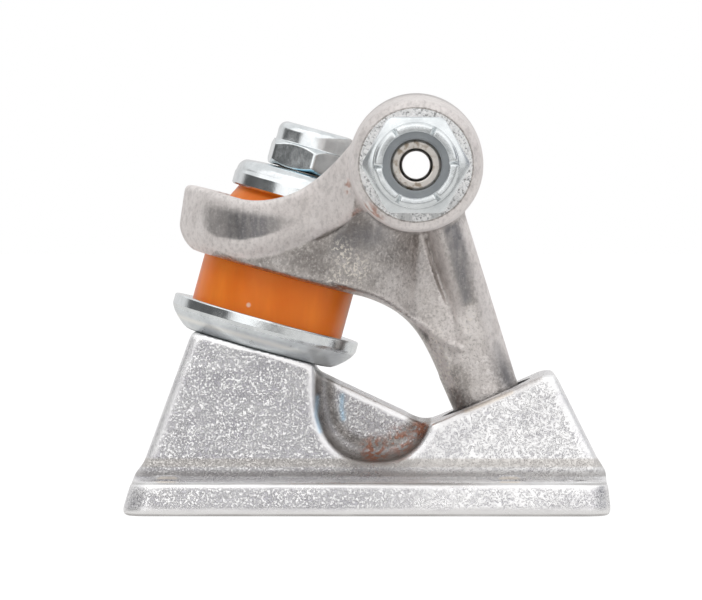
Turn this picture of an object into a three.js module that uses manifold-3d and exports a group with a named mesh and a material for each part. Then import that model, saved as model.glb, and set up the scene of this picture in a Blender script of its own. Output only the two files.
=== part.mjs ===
// A skateboard truck: a baseplate that bolts to the deck, a hanger that carries the wheel axle,
// and a kingpin that clamps the hanger between two urethane bushings so that it can lean and steer.
// Millimetres. +Z is up, the baseplate's mounting face lies on Z = 0 and the axle runs along Y.
// +X points from the kingpin towards the pivot. The origin is the middle of the mounting face.
import * as THREE from "three";
import { mergeVertices } from "three/addons/utils/BufferGeometryUtils.js";
import Module from "manifold-3d";

const wasm = await Module();
wasm.setup();

// Overall layout.
const BASE_LENGTH = 76.7;
const BASE_WIDTH = 55;
const AXLE_HEIGHT = 55; // axle centre above the mounting face
const AXLE_REACH = 32.3; // from where the kingpin's axis meets the mounting face to the axle
const KINGPIN_FOOT_SHARE = 0.32; // of the base's length, from its middle back to that point
const KINGPIN_TILT = 15.4; // degrees from upright, leaning towards the axle
const PIVOT_SHARE = 0.279; // of the base's length, from its middle forward to the pivot
const PIVOT_HEIGHT = 12.25; // centre of the ball on the pivot nose
const PIVOT_TILT = 23.6; // degrees from upright, the nose leaning back over the baseplate
const KINGPIN_FOOT_X = -KINGPIN_FOOT_SHARE * BASE_LENGTH;
const PIVOT_X = PIVOT_SHARE * BASE_LENGTH;
const AXLE_X = KINGPIN_FOOT_X + AXLE_REACH;

// Clearances.
const FIT_GAP = 0.15; // between a fixed piece and the hole or seat that holds it
const RUN_GAP = 0.3; // between pieces that slide or turn on each other
const CUT_OVERRUN = 5; // how far a cutting tool passes the surface that it cuts
const WELD_OVERLAP = 1; // how far fused shapes reach into each other

// Baseplate.
const FLANGE_THICKNESS = 5.4;
const FLANGE_CORNER_RADIUS = 4.2;
const FLANGE_LOWER_EDGE_RADIUS = 0.7;
const FLANGE_UPPER_EDGE_RADIUS = 0.7;
const FLANGE_REAR_DRAFT = 16.2; // degrees, the end below the kingpin tower
const FLANGE_FRONT_DRAFT = 5.8; // degrees, the end below the pivot boss
const FLANGE_SIDE_DRAFT = 6.3; // degrees
const BODY_WIDTH_SHARE = 0.5345; // of the base's width, at the flange's top without the fillet
const BODY_HALF_WIDTH = (BODY_WIDTH_SHARE * BASE_WIDTH) / 2;
const BODY_SIDE_DRAFT = 6; // degrees
const BODY_CORNER_RADIUS = 1.6;
const BODY_FILLET_RADIUS = 3;
const BODY_REAR_STEP = 0.7; // the body's ends stand this far inside the flange's ends
const BODY_FRONT_STEP = 0.3;
const TOWER_REAR_SLOPE = 20.1; // degrees from upright
const BOSS_FRONT_SLOPE = 26.5; // degrees from upright
const BOSS_FRONT_RISE = 1; // upright stretch of the front end above the flange
const TOWER_HEIGHT = 26.5; // along the kingpin's axis
const TOWER_FRONT_REACH = 9.1; // from the kingpin's axis to the tower's front edge
const WEB_DROP = 1; // the web starts this far below the tower's top
const WEB_HEIGHT = 14.4; // lowest point of the web's top edge
const WEB_VALLEY_LENGTH = 5.2;
const WEB_VALLEY_RISE = 0.9;
const SEAT_HEIGHT = 6; // pivot seat above the pivot centre, along the nose
const SEAT_REAR_REACH = 8.4; // from the nose's axis to the seat's lower edge
const SEAT_FRONT_REACH = 9.9; // from the nose's axis to the seat's upper edge
const SEAT_PEAK_CHAMFER = 1.6; // length of the blunted edge past the pivot seat
const SEAT_PEAK_DROP = 0.53; // and how far it drops
const SCOOP_FLOOR_SHARE = 0.5714; // web's thickness between the scoops, of the body's width
const SCOOP_FLOOR_HALF_WIDTH = SCOOP_FLOOR_SHARE * BODY_HALF_WIDTH;
const SCOOP_FILLET_RADIUS = 3.8;
const SCOOP_LIP_RADIUS = 1.1; // rounding of the scoop's outer edge
const SCOOP_HALF_HEIGHT = 11.8;
const SCOOP_BOTTOM_RISE = 2.5; // the scoop's lowest point above the flange
const SCOOP_END_INSET = 0.6; // the scoop starts this far past the tower's front edge
const BOLT_HOLE_RADIUS = 2.75;
const BOLT_SIDE_INSET = 6.85; // hole centres inside the flange's sides
const BOLT_REAR_INSET = 6.85; // and inside its rear end
const BOLT_FRONT_INSET = 6.35; // and its front end
const BOLT_PATTERN_STEP = 9.5; // between the two pairs of front holes
const RELIEF_LENGTH = 15; // lightening pocket under the web
const RELIEF_HALF_WIDTH = 6.5;
const RELIEF_DEPTH = 5.5;
const RELIEF_CORNER_RADIUS = 3;
const RELIEF_X = 1.5;

// Kingpin, washers, bushings and kingpin nut, stacked along the kingpin's axis.
const KINGPIN_RADIUS = 4.76;
const KINGPIN_BORE_RADIUS = 2.4;
const KINGPIN_TIP_CHAMFER = 0.8;
const KINGPIN_HEAD_FLATS = 14.3;
const KINGPIN_HEAD_THICKNESS = 5.2;
const KINGPIN_HEAD_HEIGHT = 2.8; // the head's underside above the mounting face, on the axis
const CUP_BORE_CLEARANCE = 0.3;
const BUSHING_BORE_CLEARANCE = 0.3;
const LOWER_CUP_FLOOR = 2; // thickness
const LOWER_CUP_FLAT_RADIUS = 9.4;
const LOWER_CUP_RIM_RADIUS = 15.2;
const LOWER_CUP_RIM_HEIGHT = 5.05;
const LOWER_CUP_FLARE_HEIGHT = 3.55; // over which the underside spreads out to the rim
const LOWER_CUP_RIM_THICKNESS = 2;
const LOWER_CUP_RIM_BEVEL = 0.33; // where the rim's top turns down to the bushing
const UPPER_CUP_FLOOR = 2.1; // thickness
const UPPER_CUP_FLAT_RADIUS = 8.5;
const UPPER_CUP_RIM_RADIUS = 11.2;
const UPPER_CUP_RIM_DROP = 2.4; // the rim below the cup's floor
const UPPER_CUP_RIM_THICKNESS = 1;
const LOWER_BUSHING_RADIUS = 12.35;
const LOWER_BUSHING_HEIGHT = 11.5;
const UPPER_BUSHING_RADIUS = 11.9;
const UPPER_BUSHING_TIP_RADIUS = 10;
const UPPER_BUSHING_HEIGHT = 7.3;
const UPPER_BUSHING_COLLAR = 1.1; // straight stretch above the ring
const BUSHING_NOSE_RADIUS = 7.2;
const BUSHING_NOSE_HEIGHT = 2.6; // the lip that centres a bushing in the hanger's ring
const BUSHING_EDGE_RADIUS = 0.7;
const KINGPIN_NUT_FLATS = 13;
const KINGPIN_NUT_HEX_HEIGHT = 4;
const KINGPIN_NUT_COLLAR_HEIGHT = 3.2;
const KINGPIN_NUT_COLLAR_RADIUS = 6.25;
const KINGPIN_NUT_TURN = 35.8; // degrees, how far the hexagon is turned about the kingpin
const KINGPIN_INSERT_HEIGHT = 2.2;
const KINGPIN_INSERT_RADIUS = 5.6;

// Hanger.
const HANGER_WIDTH = 139.7; // between the faces that the wheels bear on
const BARREL_FACE_RADIUS = 8.45;
const BARREL_END_RADIUS = 9.75;
const BARREL_END_FILLET = 1.5;
const BARREL_MIDDLE_RADIUS = 10.6;
const BARREL_MIDDLE_HALF_LENGTH = 20;
const BARREL_CROWN = 0.7; // extra height along the barrel's top
const RING_WAIST = 5.4; // thickness of the ring between the two bushings
const RING_HOLE_RADIUS = 7.6;
const RING_LOWER_LIP = 1.4; // how far the ring reaches down round the lower bushing
const RING_UPPER_LIP = 3.2;
const RING_RADIUS = 15.6;
const RING_EDGE_RADIUS = 1.6;
const RING_LOWER_RECESS_RADIUS = 12.9;
const RING_UPPER_RECESS_RADIUS = 13.4;
const CUP_SWING_CLEARANCE = 0.5; // between the upper cup washer and the barrel
const CUP_SWING_TRAVEL = 4; // how far the barrel swings past the cup washer sideways
const WRENCH_CLEARANCE = 2.6; // round the kingpin nut
const WRENCH_SWING_TRAVEL = 5;
const YOKE_RADIUS = 15.3; // middle of the band that runs round the ring and into the arms
const YOKE_HALF_THICKNESS = 2.4;
const YOKE_LEAN = 7; // degrees that the band leans outwards
const YOKE_REAR_LENGTH = 9; // from the kingpin's axis back to where the arms start to rise
const ARM_TOP_HANDLE = 10.4; // how long the arm's upper edge keeps to the ring's top
const ARM_BOTTOM_HANDLE = 9.6;
const ARM_ROOT_HANDLE = 2.8;
const ARM_TOP_ANGLE = 145; // degrees round the axle, where the upper edge meets the barrel
const ARM_TOP_SLOPE = 50; // degrees, how steeply it rises there
const ARM_BOTTOM_ANGLE = 223; // degrees round the axle, where the lower edge meets it
const ARM_BOTTOM_SLOPE = 27; // degrees
const ARM_ROOT_Y = 21.5; // middle of the arm's root, where it flares into the barrel
const ARM_ROOT_HALF_THICKNESS = 6.6;
const ARM_FLARE_SHARE = 0.45; // the stretch of the arm before it starts to flare
const ARM_SINK_SHARE = 0.4; // how far the arm's end reaches from the barrel's skin to the axle
const RIB_RING_HALF_WIDTH = 13;
const RIB_THIN_HALF_WIDTH = 4.6;
const RIB_LOWER_REACH = 12.6; // where the rib's lower edge leaves the ring
const RIB_UPPER_RISE = 5.8; // how far above the ring the rib starts, inside the barrel
const RIB_LOWER_HANDLE = 10;
const RIB_INSET_SHARE = 0.98; // the rib ends this share of the nose's radius from its axis
const RIB_TURN_SHARE = 0.42; // of the way to the nose, where the upper edge leaves the barrel
const RIB_TIP_SHARE = 0.8; // where the ridge ends
const RIB_NARROWING_SHARES = [-0.12, 0.6]; // where the rib narrows from the ring's width
const RIB_WIDENING_SHARES = [0.62, 1]; // where it widens again to the nose
const RIDGE_TOP_REACH = 0.6; // the ridge's upper end past the axle's centre
const RIDGE_BEND_X = 7.6; // on its way down the ridge bows away from the column
const RIDGE_BEND_HEIGHT = 40;
const RIDGE_TIP_X = 15.9; // lower end of the ridge beside the column
const RIDGE_TIP_HEIGHT = 27.7;
const CORE_HALF_WIDTH = 2.9; // under the groove between rib and column
const CORE_END_SHARE = 0.4; // of the way up the column, where the core's upper edge ends
const NOSE_RADIUS = 5.63; // where the nose enters the pivot cup
const NOSE_BALL_RADIUS = 5.2;
const NOSE_LENGTH = 6; // the nose's straight stretch above the pivot seat
const NOSE_EDGE_HANDLE = 10;
const COLUMN_TOP_RADIUS = 3.6; // front to back, where the column meets the barrel
const COLUMN_TOP_HALF_WIDTH = 8;
const COLUMN_MIDDLE_HALF_WIDTH = 5.9;
const COLUMN_TOP_REACH = 8.4; // the column's front edge past the axle's centre
const COLUMN_TOP_DROP = 9.6; // and below the axle's centre
const COLUMN_NECK_SHARE = 0.35; // of the column's length, below its slim upper stretch

// Pivot cup.
const CUP_OUTER_RADIUS = 7.6;
const CUP_MOUTH_CLEARANCE = 1.2; // room for the nose to swing
const CUP_FLOOR = 1.3;

// Axle, axle nuts and speed washers.
const AXLE_LENGTH = 203;
const AXLE_RADIUS = 3.97;
const AXLE_BORE_RADIUS = 2.4;
const AXLE_TIP_CHAMFER = 0.75;
const AXLE_NUT_FLATS = 14;
const AXLE_NUT_HEX_HEIGHT = 5.6;
const AXLE_NUT_COLLAR_HEIGHT = 2.4;
const AXLE_NUT_COLLAR_RADIUS = 5.85;
const AXLE_INSERT_HEIGHT = 2;
const AXLE_INSERT_RADIUS = 5.05;
const AXLE_INSERT_BORE_RADIUS = 3.64;
const NUT_CHAMFER = 0.9;
const NUT_LIP = 0.35; // rolled edge that holds an insert in its nut
const SPEED_WASHER_RADIUS = 6.35;
const SPEED_WASHER_THICKNESS = 1;

// How square the cross sections are. 2 gives an ellipse, and more squares it off.
const SCOOP_SQUARENESS = 2.4;
const YOKE_SQUARENESS = 3.2;
const COLUMN_SQUARENESS = 2.3;
const RIB_SQUARENESS = 5;
const ROUND = 2;

// How finely the shapes are divided.
const SIDES_LARGE = 32;
const SIDES_MEDIUM = 26;
const SIDES_SMALL = 22;
const HEXAGON_SIDES = 6;
const SECTION_POINTS = 20;
const ARC_STEPS = 4;
const EDGE_STEPS = 3;
const YOKE_REAR_STEPS = 5;
const ARM_STEPS = 9;
const COLUMN_STEPS = 9;
const RIB_STEPS = 12;

const MERGE_DISTANCE = 1e-4;

// The look of each material.
const finish = (color, roughness, metalness) =>
  new THREE.MeshStandardMaterial({ color, roughness, metalness });
const CAST_ALUMINIUM = finish(0xb9b4af, 0.42, 1);
const FORGED_ALUMINIUM = finish(0xc9c7c6, 0.36, 1);
const ZINC = finish(0xc3ccce, 0.22, 1);
const STEEL = finish(0x9c958c, 0.35, 1);
const URETHANE = finish(0xd9741f, 0.28, 0);
const NYLON = finish(0x7b858d, 0.5, 0);
const PIVOT_URETHANE = finish(0x24262a, 0.55, 0);

// A closed geometry as a solid that can be joined and cut. Collapsed faces are dropped.
function solidOf(geometry) {
  const loose = geometry.index ? geometry.toNonIndexed() : geometry;
  const bare = new THREE.BufferGeometry();
  bare.setAttribute("position", loose.getAttribute("position"));
  const merged = mergeVertices(bare, MERGE_DISTANCE);
  const corners = merged.index.array;
  const triangles = [];
  for (let i = 0; i < corners.length; i += 3) {
    const [a, b, c] = [corners[i], corners[i + 1], corners[i + 2]];
    if (a !== b && b !== c && a !== c) triangles.push([a, b, c]);
  }
  const made = (faces) =>
    new wasm.Manifold(
      new wasm.Mesh({
        numProp: 3,
        vertProperties: merged.attributes.position.array,
        triVerts: new Uint32Array(faces.flat()),
      }),
    );
  const solid = made(triangles);
  return solid.volume() > 0
    ? solid
    : made(triangles.map(([a, b, c]) => [a, c, b]));
}

function geometryOf(solid) {
  const mesh = solid.getMesh();
  const geometry = new THREE.BufferGeometry();
  geometry.setAttribute(
    "position",
    new THREE.BufferAttribute(mesh.vertProperties, mesh.numProp),
  );
  geometry.setIndex(new THREE.BufferAttribute(mesh.triVerts, 1));
  geometry.computeVertexNormals();
  return geometry;
}

// A solid of revolution about Z, from a closed profile of [radius, height] points.
function revolved(profile, sides) {
  const points = profile.map(([r, z]) => new THREE.Vector2(r, z));
  const hollow = profile[0][0] > 0;
  if (hollow) points.push(points[0].clone());
  return new THREE.LatheGeometry(points, sides).rotateX(Math.PI / 2);
}

// Points of an arc in the [radius, height] plane, between two angles in degrees.
function arc(centreR, centreZ, radius, from, to, steps = ARC_STEPS) {
  return Array.from({ length: steps + 1 }, (_, i) => {
    const angle = THREE.MathUtils.degToRad(from + ((to - from) * i) / steps);
    return [
      centreR + radius * Math.cos(angle),
      centreZ + radius * Math.sin(angle),
    ];
  });
}

// A closed skin through rings of equally many points, capped at both ends.
function lofted(rings) {
  const count = rings[0].length;
  const centres = [rings[0], rings.at(-1)].map((ring) =>
    ring
      .reduce((sum, p) => sum.add(p), new THREE.Vector3())
      .divideScalar(count),
  );
  const points = [...rings.flat(), ...centres];
  const [firstCentre, lastCentre] = [points.length - 2, points.length - 1];
  const lastRing = (rings.length - 1) * count;
  const faces = [];
  for (let i = 0; i < count; i++) {
    const j = (i + 1) % count;
    faces.push(firstCentre, j, i, lastCentre, lastRing + i, lastRing + j);
    for (let k = 0; k < rings.length - 1; k++) {
      const [low, high] = [k * count, (k + 1) * count];
      faces.push(low + i, low + j, high + j, low + i, high + j, high + i);
    }
  }
  return new THREE.BufferGeometry().setFromPoints(points).setIndex(faces);
}

// A ring in the plane of two unit vectors.
function section(centre, across, up, halfAcross, halfUp, squareness) {
  return Array.from({ length: SECTION_POINTS }, (_, i) => {
    const angle = (2 * Math.PI * (i + 0.5)) / SECTION_POINTS;
    const [c, s] = [Math.cos(angle), Math.sin(angle)];
    const grow = (v) => Math.sign(v) * Math.abs(v) ** (ROUND / squareness);
    return centre
      .clone()
      .addScaledVector(across, halfAcross * grow(c))
      .addScaledVector(up, halfUp * grow(s));
  });
}

// A flat ring at height z: a rectangle with round corners.
function roundedRectangle(left, right, halfWidth, radius, z) {
  const corners = [
    [right - radius, halfWidth - radius, 0],
    [left + radius, halfWidth - radius, 90],
    [left + radius, radius - halfWidth, 180],
    [right - radius, radius - halfWidth, 270],
  ];
  return corners.flatMap(([x, y, start]) =>
    arc(x, y, radius, start, start + 90).map(
      ([px, py]) => new THREE.Vector3(px, py, z),
    ),
  );
}

// A prism along Y from an outline of [x, z] points, between y = -half and y = half.
function prismAlongY(outline, half) {
  const shape = new THREE.Shape(outline.map(([x, z]) => new THREE.Vector2(x, z)));
  return new THREE.ExtrudeGeometry(shape, {
    depth: 2 * half,
    bevelEnabled: false,
  })
    .rotateX(Math.PI / 2)
    .translate(0, half, 0);
}

// A hexagonal bar along Z with chamfered corners, from its width across flats.
function hexagonalBar(flats, low, high, chamfer) {
  const corner = flats / Math.sqrt(3);
  const shape = new THREE.Shape(
    Array.from({ length: HEXAGON_SIDES }, (_, i) => {
      const angle = (2 * Math.PI * i) / HEXAGON_SIDES;
      return new THREE.Vector2(
        corner * Math.cos(angle),
        corner * Math.sin(angle),
      );
    }),
  );
  const bar = new THREE.ExtrudeGeometry(shape, {
    depth: high - low,
    bevelEnabled: false,
  }).translate(0, 0, low);
  const turned = revolved(
    [
      [0, low],
      [corner - chamfer, low],
      [corner, low + chamfer / 2],
      [corner, high - chamfer / 2],
      [corner - chamfer, high],
      [0, high],
    ],
    SIDES_MEDIUM,
  );
  return solidOf(bar).intersect(solidOf(turned));
}

// A round hole or pin along Z.
const cylinder = (radius, low, high, sides = SIDES_SMALL) =>
  revolved(
    [
      [0, low],
      [radius, low],
      [radius, high],
      [0, high],
    ],
    sides,
  );

// The frames of the kingpin and of the pivot nose, and points given in them.
const tiltedFrame = (x, z, degrees) =>
  new THREE.Matrix4()
    .makeTranslation(x, 0, z)
    .multiply(
      new THREE.Matrix4().makeRotationY(THREE.MathUtils.degToRad(degrees)),
    );
const KINGPIN_FRAME = tiltedFrame(KINGPIN_FOOT_X, 0, KINGPIN_TILT);
const PIVOT_FRAME = tiltedFrame(PIVOT_X, PIVOT_HEIGHT, -PIVOT_TILT);
const AXLE_FRAME = new THREE.Matrix4()
  .makeTranslation(AXLE_X, 0, AXLE_HEIGHT)
  .multiply(new THREE.Matrix4().makeRotationX(-Math.PI / 2));
const onKingpin = (forward, height, y = 0) =>
  new THREE.Vector3(forward, y, height).applyMatrix4(KINGPIN_FRAME);
const onPivot = (forward, height, y = 0) =>
  new THREE.Vector3(forward, y, height).applyMatrix4(PIVOT_FRAME);
const UP_KINGPIN = new THREE.Vector3(0, 0, 1).transformDirection(KINGPIN_FRAME);
const FORWARD_KINGPIN = new THREE.Vector3(1, 0, 0).transformDirection(
  KINGPIN_FRAME,
);
const UP_NOSE = new THREE.Vector3(0, 0, 1).transformDirection(PIVOT_FRAME);
const ALONG_AXLE = new THREE.Vector3(0, 1, 0);

// A point round the axle, with its angle in degrees from the front upwards.
const aroundAxle = (radius, degrees, y = 0) =>
  new THREE.Vector3(
    AXLE_X + radius * Math.cos(THREE.MathUtils.degToRad(degrees)),
    y,
    AXLE_HEIGHT + radius * Math.sin(THREE.MathUtils.degToRad(degrees)),
  );

// A unit vector leaned over towards another one.
const leaning = (up, towards, degrees) =>
  up
    .clone()
    .multiplyScalar(Math.cos(THREE.MathUtils.degToRad(degrees)))
    .addScaledVector(towards, Math.sin(THREE.MathUtils.degToRad(degrees)));

const tangent = (degrees) => Math.tan(THREE.MathUtils.degToRad(degrees));

// Heights along the kingpin's axis, from the tower's top upwards.
const LOWER_CUP_BOTTOM = TOWER_HEIGHT + FIT_GAP;
const LOWER_BUSHING_BOTTOM = LOWER_CUP_BOTTOM + LOWER_CUP_FLOOR + FIT_GAP;
const LOWER_BUSHING_TOP = LOWER_BUSHING_BOTTOM + LOWER_BUSHING_HEIGHT;
const RING_LOWER_SEAT = LOWER_BUSHING_TOP + FIT_GAP;
const RING_UPPER_SEAT = RING_LOWER_SEAT + RING_WAIST;
const RING_BOTTOM = RING_LOWER_SEAT - RING_LOWER_LIP;
const RING_TOP = RING_UPPER_SEAT + RING_UPPER_LIP;
const RING_CENTRE = (RING_BOTTOM + RING_TOP) / 2;
const UPPER_BUSHING_BOTTOM = RING_UPPER_SEAT + FIT_GAP;
const UPPER_BUSHING_TOP = UPPER_BUSHING_BOTTOM + UPPER_BUSHING_HEIGHT;
const UPPER_CUP_BOTTOM = UPPER_BUSHING_TOP + FIT_GAP;
const UPPER_CUP_TOP = UPPER_CUP_BOTTOM + UPPER_CUP_FLOOR;
const KINGPIN_NUT_BOTTOM = UPPER_CUP_TOP + FIT_GAP;
const KINGPIN_NUT_SHOULDER = KINGPIN_NUT_BOTTOM + KINGPIN_NUT_HEX_HEIGHT;
const KINGPIN_NUT_TOP = KINGPIN_NUT_SHOULDER + KINGPIN_NUT_COLLAR_HEIGHT;
const KINGPIN_HEAD_TOP = KINGPIN_HEAD_HEIGHT + KINGPIN_HEAD_THICKNESS;

// Baseplate

// The flange: a rectangle with round corners and drafted sides.
function flangeSolid() {
  const ring = (z, inset) => {
    const rise = Math.max(z - FLANGE_LOWER_EDGE_RADIUS, 0);
    return roundedRectangle(
      inset - BASE_LENGTH / 2 + rise * tangent(FLANGE_REAR_DRAFT),
      BASE_LENGTH / 2 - rise * tangent(FLANGE_FRONT_DRAFT) - inset,
      BASE_WIDTH / 2 - rise * tangent(FLANGE_SIDE_DRAFT) - inset,
      FLANGE_CORNER_RADIUS - inset,
      z,
    );
  };
  const edge = (radius, from, to) =>
    arc(0, 0, radius, from, to, EDGE_STEPS).map(([x, z]) => [
      radius - x,
      radius + z,
    ]);
  const lower = edge(FLANGE_LOWER_EDGE_RADIUS, -90, 0).map(([inset, z]) =>
    ring(z, inset),
  );
  const upper = edge(FLANGE_UPPER_EDGE_RADIUS, 0, 90).map(([inset, z]) =>
    ring(FLANGE_THICKNESS - 2 * FLANGE_UPPER_EDGE_RADIUS + z, inset),
  );
  return solidOf(lofted([...lower, ...upper]));
}

// The body over the flange: drafted all round, with a fillet along both sides.
function bodyBlock(top) {
  const halfWidth = (rise) =>
    BODY_HALF_WIDTH - rise * tangent(BODY_SIDE_DRAFT);
  const drafted = FLANGE_THICKNESS - FLANGE_LOWER_EDGE_RADIUS;
  const rear =
    BODY_REAR_STEP - BASE_LENGTH / 2 + drafted * tangent(FLANGE_REAR_DRAFT);
  const front =
    BASE_LENGTH / 2 - drafted * tangent(FLANGE_FRONT_DRAFT) - BODY_FRONT_STEP;
  const ring = (rise, flare) =>
    roundedRectangle(
      rear + rise * tangent(TOWER_REAR_SLOPE) - Math.min(flare, BODY_REAR_STEP),
      front -
        Math.max(rise - BOSS_FRONT_RISE, 0) * tangent(BOSS_FRONT_SLOPE) +
        Math.min(flare, BODY_FRONT_STEP),
      halfWidth(rise) + flare,
      BODY_CORNER_RADIUS,
      FLANGE_THICKNESS + rise,
    );
  const fillet = arc(
    BODY_FILLET_RADIUS,
    BODY_FILLET_RADIUS,
    BODY_FILLET_RADIUS,
    270,
    180,
  ).map(([flare, rise]) => ring(rise, flare));
  return solidOf(
    lofted([
      ring(-WELD_OVERLAP, BODY_FILLET_RADIUS),
      ...fillet,
      ring(top - FLANGE_THICKNESS, 0),
    ]),
  );
}

// The side view of the body's top: tower, web, valley, pivot seat and peak.
function topProfile() {
  const towerRear = onKingpin(-BASE_LENGTH / 2, TOWER_HEIGHT);
  const towerFront = onKingpin(TOWER_FRONT_REACH, TOWER_HEIGHT);
  const webStart = onKingpin(
    TOWER_FRONT_REACH + WEB_DROP,
    TOWER_HEIGHT - WEB_DROP,
  );
  const seatStart = onPivot(-SEAT_REAR_REACH, SEAT_HEIGHT);
  const seatEnd = onPivot(SEAT_FRONT_REACH, SEAT_HEIGHT);
  const peak = onPivot(
    SEAT_FRONT_REACH + SEAT_PEAK_CHAMFER,
    SEAT_HEIGHT - SEAT_PEAK_DROP,
  );
  const inWeb = (back, rise) =>
    new THREE.Vector3(seatStart.x - back, 0, WEB_HEIGHT + rise);
  const valley = new THREE.QuadraticBezierCurve3(
    inWeb(WEB_VALLEY_LENGTH, WEB_VALLEY_RISE),
    inWeb(WEB_VALLEY_LENGTH / 2, -WEB_VALLEY_RISE),
    seatStart,
  ).getPoints(ARC_STEPS);
  const right = BASE_LENGTH / 2 + CUT_OVERRUN;
  const slopeDrop = (right - peak.x) / tangent(BOSS_FRONT_SLOPE);
  return [
    [towerRear.x, -CUT_OVERRUN],
    [towerRear.x, towerRear.z],
    [towerFront.x, towerFront.z],
    [webStart.x, webStart.z],
    ...valley.map((p) => [p.x, p.z]),
    [seatEnd.x, seatEnd.z],
    [peak.x, peak.z],
    [right, Math.max(peak.z - slopeDrop, 0)],
    [right, -CUT_OVERRUN],
  ];
}

// The scoop in each side between the tower and the pivot boss, with a round-cornered floor.
function scoopSolid(side) {
  const rear = onKingpin(TOWER_FRONT_REACH, TOWER_HEIGHT).x;
  const front = onPivot(-SEAT_REAR_REACH, SEAT_HEIGHT).x;
  const halfLength = (front - rear) / 2 - SCOOP_END_INSET;
  const centreX = (front + rear) / 2;
  const centreZ = FLANGE_THICKNESS + SCOOP_BOTTOM_RISE + SCOOP_HALF_HEIGHT;
  const along = new THREE.Vector3(1, 0, 0);
  const up = new THREE.Vector3(0, 0, side);
  const ring = (inset, y) =>
    section(
      new THREE.Vector3(centreX, side * y, centreZ),
      along,
      up,
      halfLength - inset,
      SCOOP_HALF_HEIGHT - inset,
      SCOOP_SQUARENESS,
    );
  const walls = arc(
    SCOOP_FILLET_RADIUS,
    SCOOP_FLOOR_HALF_WIDTH + SCOOP_FILLET_RADIUS,
    SCOOP_FILLET_RADIUS,
    270,
    180,
  ).map(([inset, y]) => ring(inset, y));
  // The lip leans in with the body's side.
  const leanedIn = (p) => {
    const rise = p.z - FLANGE_THICKNESS;
    return p.setY(p.y - side * rise * tangent(BODY_SIDE_DRAFT));
  };
  const lip = arc(
    -SCOOP_LIP_RADIUS,
    BODY_HALF_WIDTH - SCOOP_LIP_RADIUS,
    SCOOP_LIP_RADIUS,
    0,
    90,
    EDGE_STEPS,
  ).map(([inset, y]) => ring(inset, y).map(leanedIn));
  const outside = BODY_HALF_WIDTH + BODY_FILLET_RADIUS + CUT_OVERRUN;
  return solidOf(lofted([...walls, ...lip, ring(-CUT_OVERRUN, outside)]));
}

function boltHoles() {
  const front = BASE_LENGTH / 2 - BOLT_FRONT_INSET;
  const columns = [
    BOLT_REAR_INSET - BASE_LENGTH / 2,
    front - BOLT_PATTERN_STEP,
    front,
  ];
  const across = BASE_WIDTH / 2 - BOLT_SIDE_INSET;
  const hole = cylinder(
    BOLT_HOLE_RADIUS,
    -CUT_OVERRUN,
    FLANGE_THICKNESS + BODY_FILLET_RADIUS + CUT_OVERRUN,
  );
  return columns.flatMap((x) =>
    [-1, 1].map((side) => solidOf(hole.clone().translate(x, side * across, 0))),
  );
}

const PIVOT_CUP_BOTTOM = -(NOSE_BALL_RADIUS + RUN_GAP + CUP_FLOOR);

function baseplateSolid() {
  const top =
    TOWER_HEIGHT + (BASE_LENGTH / 2) * tangent(KINGPIN_TILT) + CUT_OVERRUN;
  const body = bodyBlock(top).intersect(
    solidOf(prismAlongY(topProfile(), BASE_WIDTH)),
  );
  let plate = flangeSolid().add(body);
  for (const side of [-1, 1]) plate = plate.subtract(scoopSolid(side));
  for (const hole of boltHoles()) plate = plate.subtract(hole);
  const shankHole = cylinder(
    KINGPIN_RADIUS + FIT_GAP,
    -CUT_OVERRUN,
    TOWER_HEIGHT + CUT_OVERRUN,
  ).applyMatrix4(KINGPIN_FRAME);
  const headPocket = geometryOf(
    hexagonalBar(
      KINGPIN_HEAD_FLATS + 2 * FIT_GAP,
      -CUT_OVERRUN,
      KINGPIN_HEAD_TOP + FIT_GAP,
      0,
    ),
  ).applyMatrix4(KINGPIN_FRAME);
  const socket = cylinder(
    CUP_OUTER_RADIUS + FIT_GAP,
    PIVOT_CUP_BOTTOM - FIT_GAP,
    SEAT_HEIGHT + CUT_OVERRUN,
    SIDES_MEDIUM,
  ).applyMatrix4(PIVOT_FRAME);
  const relief = lofted(
    [-CUT_OVERRUN, RELIEF_DEPTH].map((z) =>
      roundedRectangle(
        RELIEF_X - RELIEF_LENGTH / 2,
        RELIEF_X + RELIEF_LENGTH / 2,
        RELIEF_HALF_WIDTH,
        RELIEF_CORNER_RADIUS,
        z,
      ),
    ),
  );
  for (const cut of [shankHole, headPocket, socket, relief]) {
    plate = plate.subtract(solidOf(cut));
  }
  return plate;
}

// Hanger

// The barrel round the axle: slimmer and rounded at its ends, with a low crown along its top.
function barrelSolid() {
  const halfWidth = HANGER_WIDTH / 2;
  const faceAngle = THREE.MathUtils.radToDeg(
    Math.acos(1 - (BARREL_END_RADIUS - BARREL_FACE_RADIUS) / BARREL_END_FILLET),
  );
  const fillet = arc(
    BARREL_END_RADIUS - BARREL_END_FILLET,
    halfWidth - BARREL_END_FILLET,
    BARREL_END_FILLET,
    faceAngle,
    0,
  );
  const outer = [
    [BARREL_FACE_RADIUS, halfWidth],
    ...fillet,
    [BARREL_MIDDLE_RADIUS, BARREL_MIDDLE_HALF_LENGTH],
  ];
  const stations = [
    ...outer.map(([r, y]) => [r, -y]),
    ...outer.map(([r, y]) => [r, y]).reverse(),
  ];
  const rings = stations.map(([radius, y]) => {
    const crown =
      BARREL_CROWN *
      THREE.MathUtils.smoothstep(
        halfWidth - Math.abs(y),
        0,
        halfWidth - BARREL_MIDDLE_HALF_LENGTH,
      );
    return Array.from({ length: SIDES_LARGE }, (_, i) => {
      const angle = (2 * Math.PI * i) / SIDES_LARGE;
      const reach = radius + crown * Math.max(Math.sin(angle), 0) ** 2;
      return new THREE.Vector3(
        AXLE_X + reach * Math.cos(angle),
        y,
        AXLE_HEIGHT + reach * Math.sin(angle),
      );
    });
  });
  return solidOf(lofted(rings));
}

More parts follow.
